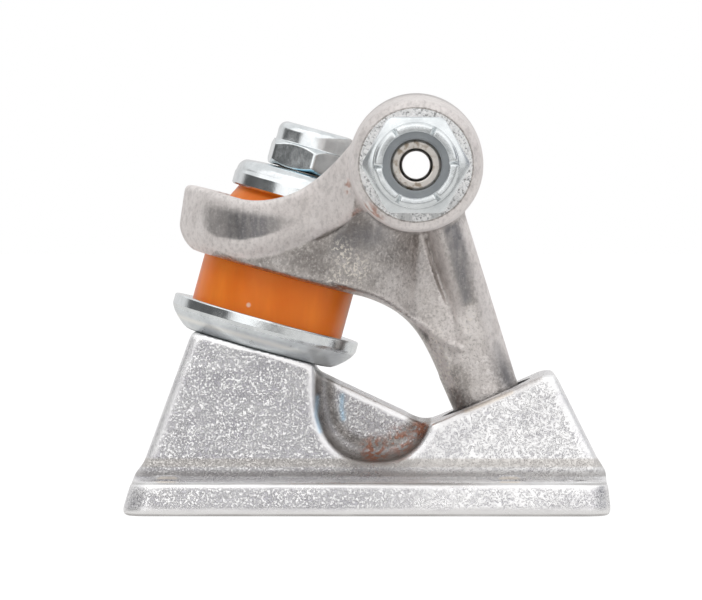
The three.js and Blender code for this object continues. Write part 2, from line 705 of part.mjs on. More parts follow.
// The ring that the bushings clamp, before its seats are cut.
function ringSolid() {
  const profile = [
    [0, RING_BOTTOM],
    ...arc(
      RING_RADIUS - RING_EDGE_RADIUS,
      RING_BOTTOM + RING_EDGE_RADIUS,
      RING_EDGE_RADIUS,
      -90,
      0,
      EDGE_STEPS,
    ),
    [RING_RADIUS, RING_TOP],
    [0, RING_TOP],
  ];
  return solidOf(revolved(profile, SIDES_LARGE).applyMatrix4(KINGPIN_FRAME));
}

// One edge of an arm: level with the ring at first, then rising to the barrel.
function armEdge(height, handle, rootAngle, rootSlope) {
  const start = onKingpin(-YOKE_REAR_LENGTH, height);
  const root = aroundAxle(BARREL_MIDDLE_RADIUS - WELD_OVERLAP / 2, rootAngle);
  const arrival = aroundAxle(ARM_ROOT_HANDLE, rootSlope).sub(aroundAxle(0, 0));
  return new THREE.CubicBezierCurve3(
    start,
    start.clone().addScaledVector(FORWARD_KINGPIN, handle),
    root.clone().sub(arrival),
    root,
  );
}

// The band round the back of the ring, which carries on as the two arms up into the barrel.
function yokeSolid() {
  const topEdge = armEdge(
    RING_TOP,
    ARM_TOP_HANDLE,
    ARM_TOP_ANGLE,
    ARM_TOP_SLOPE,
  );
  const bottomEdge = armEdge(
    RING_BOTTOM,
    ARM_BOTTOM_HANDLE,
    ARM_BOTTOM_ANGLE,
    ARM_BOTTOM_SLOPE,
  );
  const rearAngle = Math.acos(YOKE_REAR_LENGTH / YOKE_RADIUS);
  const rear = Array.from({ length: 2 * YOKE_REAR_STEPS - 1 }, (_, i) => {
    const angle = ((i + 1) / YOKE_REAR_STEPS - 1) * rearAngle;
    const outward = FORWARD_KINGPIN.clone()
      .multiplyScalar(-Math.cos(angle))
      .addScaledVector(ALONG_AXLE, Math.sin(angle));
    return section(
      onKingpin(0, RING_CENTRE).addScaledVector(outward, YOKE_RADIUS),
      outward,
      leaning(UP_KINGPIN, outward, YOKE_LEAN),
      YOKE_HALF_THICKNESS,
      (RING_TOP - RING_BOTTOM) / 2,
      YOKE_SQUARENESS,
    );
  });
  const arm = (side) =>
    Array.from({ length: ARM_STEPS + 1 }, (_, i) => {
      const t = i / ARM_STEPS;
      const flare = THREE.MathUtils.smoothstep(t, ARM_FLARE_SHARE, 1);
      const low = bottomEdge.getPoint(t);
      const high = topEdge.getPoint(t);
      const rise = high.clone().sub(low);
      const middle = low.clone().add(high).divideScalar(2);
      const forward = middle
        .clone()
        .sub(onKingpin(0, RING_CENTRE))
        .dot(FORWARD_KINGPIN);
      const back = Math.min(forward, 0) / YOKE_RADIUS;
      const outward = FORWARD_KINGPIN.clone()
        .multiplyScalar(back)
        .addScaledVector(ALONG_AXLE, side * Math.sqrt(1 - back * back));
      const reach = YOKE_RADIUS * Math.sqrt(1 - back * back);
      middle.y = side * THREE.MathUtils.lerp(reach, ARM_ROOT_Y, flare);
      return section(
        middle,
        outward,
        leaning(rise.clone().normalize(), outward, YOKE_LEAN * (1 - flare)),
        THREE.MathUtils.lerp(
          YOKE_HALF_THICKNESS,
          ARM_ROOT_HALF_THICKNESS,
          flare,
        ),
        rise.length() / 2,
        YOKE_SQUARENESS,
      );
    });
  const inBarrel = (ring, side) => {
    const inside = aroundAxle(0, 0, side * ARM_ROOT_Y);
    return ring.map((p) => p.clone().lerp(inside, ARM_SINK_SHARE));
  };
  const [left, right] = [arm(-1), arm(1)];
  return solidOf(
    lofted([
      inBarrel(left.at(-1), -1),
      ...left.reverse(),
      ...rear,
      ...right,
      inBarrel(right.at(-1), 1),
    ]),
  );
}

const NOSE_RIGHT = onPivot(NOSE_RADIUS, SEAT_HEIGHT + WELD_OVERLAP);
const COLUMN_TOP_RIGHT = new THREE.Vector3(
  AXLE_X + COLUMN_TOP_REACH,
  0,
  AXLE_HEIGHT - COLUMN_TOP_DROP,
);

// The middle line of the column, from the nose (0) up to the barrel (1), and its radius there.
function columnAt(t) {
  const edge = NOSE_RIGHT.clone().lerp(COLUMN_TOP_RIGHT, t);
  const upward = COLUMN_TOP_RIGHT.clone().sub(NOSE_RIGHT).normalize();
  const inward = new THREE.Vector3().crossVectors(upward, ALONG_AXLE);
  const radius = THREE.MathUtils.lerp(
    COLUMN_TOP_RADIUS,
    NOSE_RADIUS,
    THREE.MathUtils.smoothstep(1 - t, COLUMN_NECK_SHARE, 1),
  );
  return {
    centre: edge.addScaledVector(inward, radius),
    inward,
    upward,
    radius,
  };
}

// The round column between the barrel and the pivot nose.
function columnSolid() {
  const { lerp } = THREE.MathUtils;
  const rings = Array.from({ length: COLUMN_STEPS + 1 }, (_, i) => {
    const t = i / COLUMN_STEPS;
    const { centre, inward, radius } = columnAt(t);
    const toMiddle = Math.min(2 * t, 1);
    const toTop = Math.max(2 * t - 1, 0);
    const halfWidth =
      lerp(NOSE_RADIUS, COLUMN_MIDDLE_HALF_WIDTH, toMiddle) +
      toTop * (COLUMN_TOP_HALF_WIDTH - COLUMN_MIDDLE_HALF_WIDTH);
    const squareness = lerp(ROUND, COLUMN_SQUARENESS, toMiddle);
    return section(centre, ALONG_AXLE, inward, halfWidth, radius, squareness);
  });
  const { upward } = columnAt(1);
  const inBarrel = rings
    .at(-1)
    .map((p) => p.clone().addScaledVector(upward, COLUMN_TOP_DROP / 2));
  return solidOf(lofted([...rings, inBarrel]));
}

// The lower edge of the rib and its core, from the ring's underside (0) to the nose (1).
function ribLowerEdge() {
  const start = onKingpin(RIB_LOWER_REACH, RING_BOTTOM);
  const end = onPivot(
    -NOSE_RADIUS * RIB_INSET_SHARE,
    SEAT_HEIGHT + NOSE_LENGTH / 2,
  );
  return new THREE.CubicBezierCurve3(
    start,
    start.clone().addScaledVector(FORWARD_KINGPIN, RIB_LOWER_HANDLE),
    end.clone().addScaledVector(UP_NOSE, NOSE_EDGE_HANDLE),
    end,
  );
}

// The rib between the ring and the column. Its flat sides stop at a ridge short of the column.
// The core is thinner and carries on into the column, so a groove is left along the ridge.
function ribSolid(narrowHalfWidth, bend, upperEnd) {
  const lowerEdge = ribLowerEdge();
  const ringEdge = onKingpin(RIB_LOWER_REACH, RING_TOP + RIB_UPPER_RISE);
  const underAxle = aroundAxle(0, 0).setX(AXLE_X + RIDGE_TOP_REACH);
  const nose = onPivot(
    NOSE_RADIUS * RIB_INSET_SHARE,
    SEAT_HEIGHT + NOSE_LENGTH / 2,
  );
  const ridge = new THREE.QuadraticBezierCurve3(underAxle, bend, upperEnd);
  const { clamp, lerp, smoothstep } = THREE.MathUtils;
  const between = (t, from, to) => clamp((t - from) / (to - from), 0, 1);
  const rings = Array.from({ length: RIB_STEPS + 1 }, (_, i) => {
    const t = i / RIB_STEPS;
    const low = lowerEdge.getPoint(t);
    const toTurn = between(t, 0, RIB_TURN_SHARE);
    const toTip = between(t, RIB_TURN_SHARE, RIB_TIP_SHARE);
    const toNose = between(t, RIB_TIP_SHARE, 1);
    const high =
      toTurn < 1
        ? ringEdge.clone().lerp(underAxle, toTurn)
        : ridge.getPoint(toTip).lerp(nose, toNose);
    const narrowing = smoothstep(t, ...RIB_NARROWING_SHARES);
    const widening = smoothstep(t, ...RIB_WIDENING_SHARES);
    const halfWidth =
      lerp(RIB_RING_HALF_WIDTH, narrowHalfWidth, narrowing) +
      widening * (NOSE_RADIUS * RIB_INSET_SHARE - narrowHalfWidth);
    const up = high.clone().sub(low);
    const halfHeight = up.length() / 2;
    return section(
      low.add(high).divideScalar(2),
      ALONG_AXLE,
      up.normalize(),
      halfWidth,
      halfHeight,
      lerp(RIB_SQUARENESS, ROUND, widening),
    );
  });
  const besideKingpin = rings[0].map((p) =>
    p
      .clone()
      .addScaledVector(FORWARD_KINGPIN, -RIB_LOWER_REACH)
      .setY((p.y * (RING_RADIUS - FIT_GAP)) / RIB_RING_HALF_WIDTH),
  );
  return solidOf(lofted([besideKingpin, ...rings]));
}

// The pivot nose: a ball on a neck that widens up to the column.
function noseSolid() {
  const neckTop = SEAT_HEIGHT + NOSE_LENGTH;
  const profile = [
    ...arc(0, 0, NOSE_BALL_RADIUS, -90, 0, 2 * ARC_STEPS),
    [NOSE_RADIUS, SEAT_HEIGHT],
    [NOSE_RADIUS, neckTop],
    [NOSE_RADIUS / 2, neckTop + NOSE_LENGTH / 2],
    [0, neckTop + NOSE_LENGTH / 2],
  ];
  profile[0][0] = 0;
  return solidOf(revolved(profile, SIDES_MEDIUM).applyMatrix4(PIVOT_FRAME));
}

// A slot with round ends across the truck, swept along the kingpin's axis.
function swingSlot(radius, travel, low, high) {
  const outline = (height) => {
    const end = (y, from) =>
      arc(0, y, radius, from, from + 180, 2 * ARC_STEPS).map(([x, py]) =>
        onKingpin(x, height, py),
      );
    return [...end(travel, 0), ...end(-travel, 180)];
  };
  return solidOf(lofted([outline(low), outline(high)]));
}

function hangerSolid() {
  const parts = [
    ringSolid(),
    yokeSolid(),
    ribSolid(
      RIB_THIN_HALF_WIDTH,
      new THREE.Vector3(RIDGE_BEND_X, 0, RIDGE_BEND_HEIGHT),
      new THREE.Vector3(RIDGE_TIP_X, 0, RIDGE_TIP_HEIGHT),
    ),
    ribSolid(CORE_HALF_WIDTH, columnAt(1).centre, columnAt(CORE_END_SHARE).centre),
    columnSolid(),
    noseSolid(),
  ];
  const blank = parts.reduce((sum, part) => sum.add(part), barrelSolid());
  const top = KINGPIN_NUT_TOP + 2 * BARREL_MIDDLE_RADIUS;
  const lowerRecess = cylinder(
    RING_LOWER_RECESS_RADIUS,
    RING_BOTTOM - CUT_OVERRUN,
    RING_LOWER_SEAT,
    SIDES_LARGE,
  );
  const upperRecess = cylinder(
    RING_UPPER_RECESS_RADIUS,
    RING_UPPER_SEAT,
    RING_TOP + WELD_OVERLAP,
    SIDES_LARGE,
  );
  const ringHole = cylinder(RING_HOLE_RADIUS, RING_BOTTOM, RING_TOP);
  const turned = [lowerRecess, upperRecess, ringHole].map((cut) =>
    solidOf(cut.applyMatrix4(KINGPIN_FRAME)),
  );
  const nutCorner = KINGPIN_NUT_FLATS / Math.sqrt(3);
  const slots = [
    swingSlot(
      UPPER_CUP_RIM_RADIUS + CUP_SWING_CLEARANCE,
      CUP_SWING_TRAVEL,
      RING_TOP,
      UPPER_CUP_TOP + CUP_SWING_CLEARANCE,
    ),
    swingSlot(
      nutCorner + WRENCH_CLEARANCE,
      WRENCH_SWING_TRAVEL,
      RING_TOP,
      top,
    ),
  ];
  const axleBore = solidOf(
    cylinder(
      AXLE_RADIUS + FIT_GAP,
      -HANGER_WIDTH / 2 - CUT_OVERRUN,
      HANGER_WIDTH / 2 + CUT_OVERRUN,
    ).applyMatrix4(AXLE_FRAME),
  );
  return [...turned, ...slots, axleBore].reduce(
    (sum, cut) => sum.subtract(cut),
    blank,
  );
}

// Pieces on the kingpin, each about the kingpin's own axis

function kingpinSolid() {
  const shank = revolved(
    [
      [KINGPIN_BORE_RADIUS, KINGPIN_HEAD_TOP - WELD_OVERLAP],
      [KINGPIN_RADIUS, KINGPIN_HEAD_TOP - WELD_OVERLAP],
      [KINGPIN_RADIUS, KINGPIN_NUT_TOP - KINGPIN_TIP_CHAMFER],
      [KINGPIN_RADIUS - KINGPIN_TIP_CHAMFER, KINGPIN_NUT_TOP],
      [KINGPIN_BORE_RADIUS, KINGPIN_NUT_TOP],
    ],
    SIDES_SMALL,
  );
  const bore = cylinder(
    KINGPIN_BORE_RADIUS,
    -CUT_OVERRUN,
    KINGPIN_HEAD_TOP + CUT_OVERRUN,
  );
  return hexagonalBar(
    KINGPIN_HEAD_FLATS,
    KINGPIN_HEAD_HEIGHT,
    KINGPIN_HEAD_TOP,
    NUT_CHAMFER,
  )
    .subtract(solidOf(bore))
    .add(solidOf(shank));
}

// A dished washer whose rim turns up round the lower bushing.
function lowerCupWasherSolid() {
  const bore = KINGPIN_RADIUS + CUP_BORE_CLEARANCE;
  const floor = LOWER_CUP_BOTTOM + LOWER_CUP_FLOOR;
  const rimTop = LOWER_CUP_BOTTOM + LOWER_CUP_RIM_HEIGHT;
  const innerRim = LOWER_CUP_RIM_RADIUS - LOWER_CUP_RIM_THICKNESS;
  const innerFloor = LOWER_BUSHING_RADIUS + FIT_GAP;
  const edge = LOWER_CUP_RIM_THICKNESS / 2;
  const flare = LOWER_CUP_RIM_RADIUS - LOWER_CUP_FLAT_RADIUS;
  const underside = arc(0, 0, 1, -90, 0).map(([x, z]) => [
    LOWER_CUP_FLAT_RADIUS + flare * x,
    LOWER_CUP_BOTTOM + LOWER_CUP_FLARE_HEIGHT * (1 + z),
  ]);
  return solidOf(
    revolved(
      [
        [bore, LOWER_CUP_BOTTOM],
        ...underside,
        ...arc(
          LOWER_CUP_RIM_RADIUS - edge,
          rimTop - edge,
          edge,
          0,
          90,
          EDGE_STEPS,
        ),
        [innerRim + LOWER_CUP_RIM_BEVEL, rimTop],
        [innerFloor, rimTop - edge],
        [innerFloor, floor],
        [bore, floor],
      ],
      SIDES_LARGE,
    ),
  );
}

// The smaller cup washer, turned down over the upper bushing's tip.
function upperCupWasherSolid() {
  const bore = KINGPIN_RADIUS + CUP_BORE_CLEARANCE;
  const rimBottom = UPPER_CUP_BOTTOM - UPPER_CUP_RIM_DROP;
  const innerRim = UPPER_CUP_RIM_RADIUS - UPPER_CUP_RIM_THICKNESS;
  const shoulder = UPPER_CUP_RIM_RADIUS - UPPER_CUP_FLAT_RADIUS;
  const crown = arc(0, 0, 1, 0, 90).map(([x, z]) => [
    UPPER_CUP_FLAT_RADIUS + shoulder * x,
    UPPER_CUP_BOTTOM + UPPER_CUP_FLOOR * z,
  ]);
  return solidOf(
    revolved(
      [
        [bore, UPPER_CUP_BOTTOM],
        [innerRim, UPPER_CUP_BOTTOM],
        [innerRim, rimBottom],
        [UPPER_CUP_RIM_RADIUS, rimBottom],
        ...crown,
        [bore, UPPER_CUP_TOP],
      ],
      SIDES_LARGE,
    ),
  );
}

// The barrel bushing below the ring, with a lip that centres it in the ring's hole.
function lowerBushingSolid() {
  const bore = KINGPIN_RADIUS + BUSHING_BORE_CLEARANCE;
  const edge = BUSHING_EDGE_RADIUS;
  return solidOf(
    revolved(
      [
        [bore, LOWER_BUSHING_BOTTOM],
        ...arc(
          LOWER_BUSHING_RADIUS - edge,
          LOWER_BUSHING_BOTTOM + edge,
          edge,
          -90,
          0,
          EDGE_STEPS,
        ),
        ...arc(
          LOWER_BUSHING_RADIUS - edge,
          LOWER_BUSHING_TOP - edge,
          edge,
          0,
          90,
          EDGE_STEPS,
        ),
        [BUSHING_NOSE_RADIUS, LOWER_BUSHING_TOP],
        [BUSHING_NOSE_RADIUS, LOWER_BUSHING_TOP + BUSHING_NOSE_HEIGHT],
        [bore, LOWER_BUSHING_TOP + BUSHING_NOSE_HEIGHT],
      ],
      SIDES_LARGE,
    ),
  );
}

// The cone bushing above the ring.
function upperBushingSolid() {
  const bore = KINGPIN_RADIUS + BUSHING_BORE_CLEARANCE;
  const noseBottom = UPPER_BUSHING_BOTTOM - BUSHING_NOSE_HEIGHT;
  const coneTop = UPPER_BUSHING_TOP - UPPER_CUP_RIM_DROP;
  const edge = BUSHING_EDGE_RADIUS;
  return solidOf(
    revolved(
      [
        [bore, noseBottom],
        [BUSHING_NOSE_RADIUS, noseBottom],
        [BUSHING_NOSE_RADIUS, UPPER_BUSHING_BOTTOM],
        [UPPER_BUSHING_RADIUS - edge, UPPER_BUSHING_BOTTOM],
        [UPPER_BUSHING_RADIUS, UPPER_BUSHING_BOTTOM + edge],
        [UPPER_BUSHING_RADIUS, UPPER_BUSHING_BOTTOM + UPPER_BUSHING_COLLAR],
        [UPPER_BUSHING_TIP_RADIUS, coneTop],
        [UPPER_BUSHING_TIP_RADIUS, UPPER_BUSHING_TOP - edge],
        [UPPER_BUSHING_TIP_RADIUS - edge, UPPER_BUSHING_TOP],
        [bore, UPPER_BUSHING_TOP],
      ],
      SIDES_LARGE,
    ),
  );
}

// A lock nut: a hexagon with a round collar that holds a nylon insert under a rolled lip.
function lockNut(size) {
  const { flats, bottom, hexHeight, collarHeight, collarRadius } = size;
  const { boreRadius, insertRadius, insertHeight } = size;
  const shoulder = bottom + hexHeight;
  const top = shoulder + collarHeight;
  const collar = revolved(
    [
      [0, shoulder - WELD_OVERLAP],
      [collarRadius, shoulder - WELD_OVERLAP],
      [collarRadius, top - NUT_CHAMFER],
      ...arc(
        collarRadius - NUT_CHAMFER,
        top - NUT_CHAMFER,
        NUT_CHAMFER,
        0,
        90,
      ),
      [0, top],
    ],
    SIDES_MEDIUM,
  );
  const bore = cylinder(boreRadius, bottom - CUT_OVERRUN, top);
  const pocket = cylinder(
    insertRadius + FIT_GAP,
    top - NUT_LIP - insertHeight - 2 * FIT_GAP,
    top + CUT_OVERRUN,
  );
  const chamfered = hexagonalBar(flats, bottom, shoulder, NUT_CHAMFER);
  return chamfered
    .add(solidOf(collar))
    .subtract(solidOf(bore))
    .subtract(solidOf(pocket));
}

const nutInsert = (top, height, radius, bore) =>
  solidOf(
    revolved(
      [
        [bore, top - height],
        [radius, top - height],
        [radius, top],
        [bore, top],
      ],
      SIDES_SMALL,
    ),
  );

// The urethane pivot cup: a round seat for the ball and a mouth that opens as the nose swings.
function pivotCupSolid() {
  const ball = NOSE_BALL_RADIUS + RUN_GAP;
  const seat = arc(0, 0, ball, 0, -90, 2 * ARC_STEPS);
  seat.at(-1)[0] = 0;
  return solidOf(
    revolved(
      [
        [0, PIVOT_CUP_BOTTOM],
        [CUP_OUTER_RADIUS - CUP_FLOOR, PIVOT_CUP_BOTTOM],
        [CUP_OUTER_RADIUS, PIVOT_CUP_BOTTOM + CUP_FLOOR],
        [CUP_OUTER_RADIUS, SEAT_HEIGHT],
        [NOSE_RADIUS + CUP_MOUTH_CLEARANCE, SEAT_HEIGHT],
        ...seat,
      ],
      SIDES_MEDIUM,
    ),
  );
}

// Pieces on the axle, each about its own axis with +Z outwards

const AXLE_TIP = AXLE_LENGTH / 2;
const AXLE_INSERT_BOTTOM = AXLE_TIP - AXLE_TIP_CHAMFER / 2;
const AXLE_NUT_TOP = AXLE_INSERT_BOTTOM + AXLE_INSERT_HEIGHT + NUT_LIP;
const AXLE_NUT_BOTTOM =
  AXLE_NUT_TOP - AXLE_NUT_COLLAR_HEIGHT - AXLE_NUT_HEX_HEIGHT;

function axleSolid() {
  const end = (sign) => [
    [AXLE_RADIUS, sign * (AXLE_TIP - AXLE_TIP_CHAMFER)],
    [AXLE_RADIUS - AXLE_TIP_CHAMFER, sign * AXLE_TIP],
    [AXLE_BORE_RADIUS, sign * AXLE_TIP],
  ];
  return solidOf(revolved([...end(-1).reverse(), ...end(1)], SIDES_SMALL));
}

const speedWasher = (bottom) =>
  solidOf(
    revolved(
      [
        [AXLE_RADIUS + RUN_GAP, bottom],
        [SPEED_WASHER_RADIUS, bottom],
        [SPEED_WASHER_RADIUS, bottom + SPEED_WASHER_THICKNESS],
        [AXLE_RADIUS + RUN_GAP, bottom + SPEED_WASHER_THICKNESS],
      ],
      SIDES_SMALL,
    ),
  );

// The assembly

function piece(name, solid, material) {
  const mesh = new THREE.Mesh(geometryOf(solid), material.clone());
  mesh.name = name;
  return mesh;
}

function groupAt(frame, ...pieces) {
  const group = new THREE.Group();
  group.applyMatrix4(frame);
  group.add(...pieces);
  return group;
}

function kingpinGroup() {
  const nut = piece(
    "kingpin_nut",
    lockNut({
      flats: KINGPIN_NUT_FLATS,
      bottom: KINGPIN_NUT_BOTTOM,
      hexHeight: KINGPIN_NUT_HEX_HEIGHT,
      collarHeight: KINGPIN_NUT_COLLAR_HEIGHT,
      collarRadius: KINGPIN_NUT_COLLAR_RADIUS,
      boreRadius: KINGPIN_RADIUS + FIT_GAP,
      insertRadius: KINGPIN_INSERT_RADIUS,
      insertHeight: KINGPIN_INSERT_HEIGHT,
    }),
    ZINC,
  );
  nut.rotation.z = THREE.MathUtils.degToRad(KINGPIN_NUT_TURN);
  const insert = nutInsert(
    KINGPIN_NUT_TOP - NUT_LIP,
    KINGPIN_INSERT_HEIGHT,
    KINGPIN_INSERT_RADIUS,
    KINGPIN_RADIUS + FIT_GAP,
  );
  return groupAt(
    KINGPIN_FRAME,
    piece("kingpin", kingpinSolid(), STEEL),
    piece("lower_cup_washer", lowerCupWasherSolid(), ZINC),
    piece("lower_bushing", lowerBushingSolid(), URETHANE),
    piece("upper_bushing", upperBushingSolid(), URETHANE),
    piece("upper_cup_washer", upperCupWasherSolid(), ZINC),
    nut,
    piece("kingpin_nut_insert", insert, NYLON),
  );
}

// The nut, insert and speed washers on one end of the axle.
function axleEndGroup(side, name) {
  const turn = side > 0 ? Math.PI / 2 : -Math.PI / 2;
  const outward = new THREE.Matrix4()
    .makeTranslation(AXLE_X, 0, AXLE_HEIGHT)
    .multiply(new THREE.Matrix4().makeRotationX(-turn));
  const nut = lockNut({
    flats: AXLE_NUT_FLATS,
    bottom: AXLE_NUT_BOTTOM,
    hexHeight: AXLE_NUT_HEX_HEIGHT,
    collarHeight: AXLE_NUT_COLLAR_HEIGHT,
    collarRadius: AXLE_NUT_COLLAR_RADIUS,
    boreRadius: AXLE_RADIUS + FIT_GAP,
    insertRadius: AXLE_INSERT_RADIUS,
    insertHeight: AXLE_INSERT_HEIGHT,
  });
  const insert = nutInsert(
    AXLE_NUT_TOP - NUT_LIP,
    AXLE_INSERT_HEIGHT,
    AXLE_INSERT_RADIUS,
    AXLE_INSERT_BORE_RADIUS,
  );
  const againstNut = AXLE_NUT_BOTTOM - RUN_GAP - SPEED_WASHER_THICKNESS;
  return groupAt(
    outward,
    piece(`axle_nut_${name}`, nut, ZINC),
    piece(`axle_nut_insert_${name}`, insert, NYLON),
    piece(
      `inner_speed_washer_${name}`,
      speedWasher(HANGER_WIDTH / 2 + RUN_GAP),
      ZINC,
    ),
    piece(`outer_speed_washer_${name}`, speedWasher(againstNut), ZINC),
  );
}

const truck = new THREE.Group();
truck.add(
  piece("baseplate", baseplateSolid(), FORGED_ALUMINIUM),
  piece("hanger", hangerSolid(), CAST_ALUMINIUM),
  groupAt(PIVOT_FRAME, piece("pivot_cup", pivotCupSolid(), PIVOT_URETHANE)),
  kingpinGroup(),
  groupAt(AXLE_FRAME, piece("axle", axleSolid(), STEEL)),
  axleEndGroup(-1, "left"),
  axleEndGroup(1, "right"),
);

export default truck;
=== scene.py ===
"""The look of a skateboard truck: two rough castings, zinc-plated hardware, urethane bushings.

Every length is in millimetres in the frame of the CAD part, and becomes metres when a mesh is made.
+X points from the kingpin to the pivot, +Y along the axle and away from the camera, +Z up.
"""
import math

import bpy
import numpy as np
from mathutils import Matrix, Vector


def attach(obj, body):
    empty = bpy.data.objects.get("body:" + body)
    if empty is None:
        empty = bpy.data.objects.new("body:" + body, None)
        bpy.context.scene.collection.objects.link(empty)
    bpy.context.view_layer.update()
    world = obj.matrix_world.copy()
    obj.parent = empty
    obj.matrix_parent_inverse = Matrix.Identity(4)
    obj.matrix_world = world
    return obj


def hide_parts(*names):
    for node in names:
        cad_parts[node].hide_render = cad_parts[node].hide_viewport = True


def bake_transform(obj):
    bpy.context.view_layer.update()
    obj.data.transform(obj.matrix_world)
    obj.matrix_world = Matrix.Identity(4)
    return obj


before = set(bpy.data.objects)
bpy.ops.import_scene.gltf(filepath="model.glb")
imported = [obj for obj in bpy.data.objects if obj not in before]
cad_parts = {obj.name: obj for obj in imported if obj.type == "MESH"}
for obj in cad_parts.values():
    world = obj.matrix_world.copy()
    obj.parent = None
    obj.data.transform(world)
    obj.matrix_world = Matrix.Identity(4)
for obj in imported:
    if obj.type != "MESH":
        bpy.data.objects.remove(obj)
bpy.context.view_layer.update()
METRES = 0.001

# Layout, as in the CAD part.
AXLE_X = 7.756
AXLE_HEIGHT = 55.0
KINGPIN_FOOT_X = -24.544
KINGPIN_TILT = 15.4  # degrees
PIVOT_X = 21.399
PIVOT_HEIGHT = 12.25
PIVOT_TILT = 23.6  # degrees
X, Y, Z = Vector((1, 0, 0)), Vector((0, 1, 0)), Vector((0, 0, 1))


def tilted_frame(x, z, degrees):
    return Matrix.Translation((x, 0, z)) @ Matrix.Rotation(math.radians(degrees), 4, "Y")


KINGPIN = tilted_frame(KINGPIN_FOOT_X, 0, KINGPIN_TILT)
PIVOT = tilted_frame(PIVOT_X, PIVOT_HEIGHT, -PIVOT_TILT)
AXLE = Matrix.Translation((AXLE_X, 0, AXLE_HEIGHT)) @ Matrix.Rotation(-math.pi / 2, 4, "X")
UP_KINGPIN = KINGPIN.to_3x3() @ Z
FORWARD_KINGPIN = KINGPIN.to_3x3() @ X
UP_NOSE = PIVOT.to_3x3() @ Z


def on_kingpin(forward, height, y=0.0):
    return KINGPIN @ Vector((forward, y, height))


def on_pivot(forward, height, y=0.0):
    return PIVOT @ Vector((forward, y, height))


def around_axle(radius, degrees, y=0.0):
    angle = math.radians(degrees)
    return Vector((AXLE_X + radius * math.cos(angle), y, AXLE_HEIGHT + radius * math.sin(angle)))


def mix(a, b, t):
    return a + (b - a) * t


def rising(values, low, high):
    """0 below a limit, 1 above another, smooth between them."""
    t = np.clip((values - low) / (high - low), 0, 1)
    return t * t * (3 - 2 * t)


def tangent(degrees):
    return math.tan(math.radians(degrees))


def arc(centre_r, centre_z, radius, start, end, steps=8):
    """Points of an arc in the [radius, height] plane, between two angles in degrees."""
    angles = np.radians(np.linspace(start, end, steps + 1))
    return [(centre_r + radius * math.cos(a), centre_z + radius * math.sin(a)) for a in angles]


def bezier(points, t):
    """A point of the Bezier curve through two or three handles."""
    while len(points) > 1:
        points = [mix(a, b, t) for a, b in zip(points, points[1:])]
    return points[0]


# Meshes


def linked(name, data):
    """A new object in the scene."""
    obj = bpy.data.objects.new(name, data)
    bpy.context.scene.collection.objects.link(obj)
    return obj


def make_object(name, verts, faces, matrix=Matrix.Identity(4)):
    """A mesh object in metres from points in millimetres, with its normals facing out."""
    mesh = bpy.data.meshes.new(name)
    mesh.from_pydata([matrix @ Vector(v) * METRES for v in verts], [], faces)
    mesh.update()
    if signed_volume(mesh) < 0:
        mesh.flip_normals()
    return linked(name, mesh)


def read(items, name, width, kind=float):
    """A row of numbers for each item of a mesh."""
    values = np.zeros(len(items) * width, kind)
    items.foreach_get(name, values)
    return values.reshape(-1, width)


def positions(mesh):
    return read(mesh.vertices, "co", 3)


def normals_of(mesh):
    return read(mesh.vertices, "normal", 3)


def edges_of(mesh):
    return read(mesh.edges, "vertices", 2, np.int32)


def move_points(mesh, co):
    mesh.vertices.foreach_set("co", co.ravel())
    mesh.update()


def signed_volume(mesh):
    mesh.calc_loop_triangles()
    p = positions(mesh)[read(mesh.loop_triangles, "vertices", 3, np.int32)]
    return float(np.einsum("ij,ij->i", p[:, 0], np.cross(p[:, 1], p[:, 2])).sum())


def loft(name, rings):
    """A closed skin through rings of equally many points, capped at both ends."""
    count = len(rings[0])
    verts = [p for ring in rings for p in ring]
    faces = []
    for k in range(len(rings) - 1):
        for i in range(count):
            j = (i + 1) % count
            faces.append((k * count + i, k * count + j, (k + 1) * count + j, (k + 1) * count + i))
    for ring, start in ((rings[0], 0), (rings[-1], (len(rings) - 1) * count)):
        verts.append(sum((Vector(p) for p in ring), Vector()) / count)
        for i in range(count):
            j = (i + 1) % count
            pair = (start + j, start + i) if start == 0 else (start + i, start + j)
            faces.append((len(verts) - 1, *pair))
    return make_object(name, verts, faces)


def supported(profile, beside=0.12, shortest=0.6):
    """The profile with points beside the ends of its long runs, which keeps their shading straight."""
    points = []
    for a, b in zip(profile, profile[1:] + profile[:1]):
        points.append(a)
        length = math.dist(a, b)
        if length > shortest:
            shares = beside / length, 1 - beside / length
            points += [tuple(mix(Vector(a), Vector(b), t)) for t in shares]
    return points


def turned(name, columns, matrix):
    """A solid about Z from (angle, closed profile) columns; a profile is (radius, height) points."""
    count = len(columns[0][1])
    verts = [(r * math.cos(a), r * math.sin(a), z) for a, profile in columns for r, z in profile]
    faces = []
    for i in range(len(columns)):
        here, there = i * count, (i + 1) % len(columns) * count
        for k in range(count):
            m = (k + 1) % count
            faces.append((here + k, there + k, there + m, here + m))
    return make_object(name, verts, faces, matrix)


def lathe(name, profile, matrix, sides=160, moved=None):
    """A solid of revolution about Z, whose points moved(angle, radius, height) may shift."""
    profile = supported(profile)
    columns = []
    for angle in (2 * math.pi * i / sides for i in range(sides)):
        columns.append((angle, [moved(angle, r, z) for r, z in profile] if moved else profile))
    return turned(name, columns, matrix)


def circle(radius, z, matrix, sides):
    angles = [2 * math.pi * i / sides for i in range(sides)]
    return [matrix @ Vector((radius * math.cos(a), radius * math.sin(a), z)) for a in angles]


def pin(name, radius, low, high, matrix, sides=160):
    """A solid cylinder about Z, or a prism where it has few sides."""
    return loft(name, [circle(radius, z, matrix, sides) for z in (low, high)])


def section(centre, across, up, half_across, half_up, squareness, count=72):
    """A ring in the plane of two unit vectors: an ellipse at squareness 2, squarer above."""
    ring = []
    for i in range(count):
        angle = 2 * math.pi * (i + 0.5) / count
        c, s = math.cos(angle), math.sin(angle)
        a = math.copysign(abs(c) ** (2 / squareness), c)
        b = math.copysign(abs(s) ** (2 / squareness), s)
        ring.append(centre + across * (half_across * a) + up * (half_up * b))
    return ring


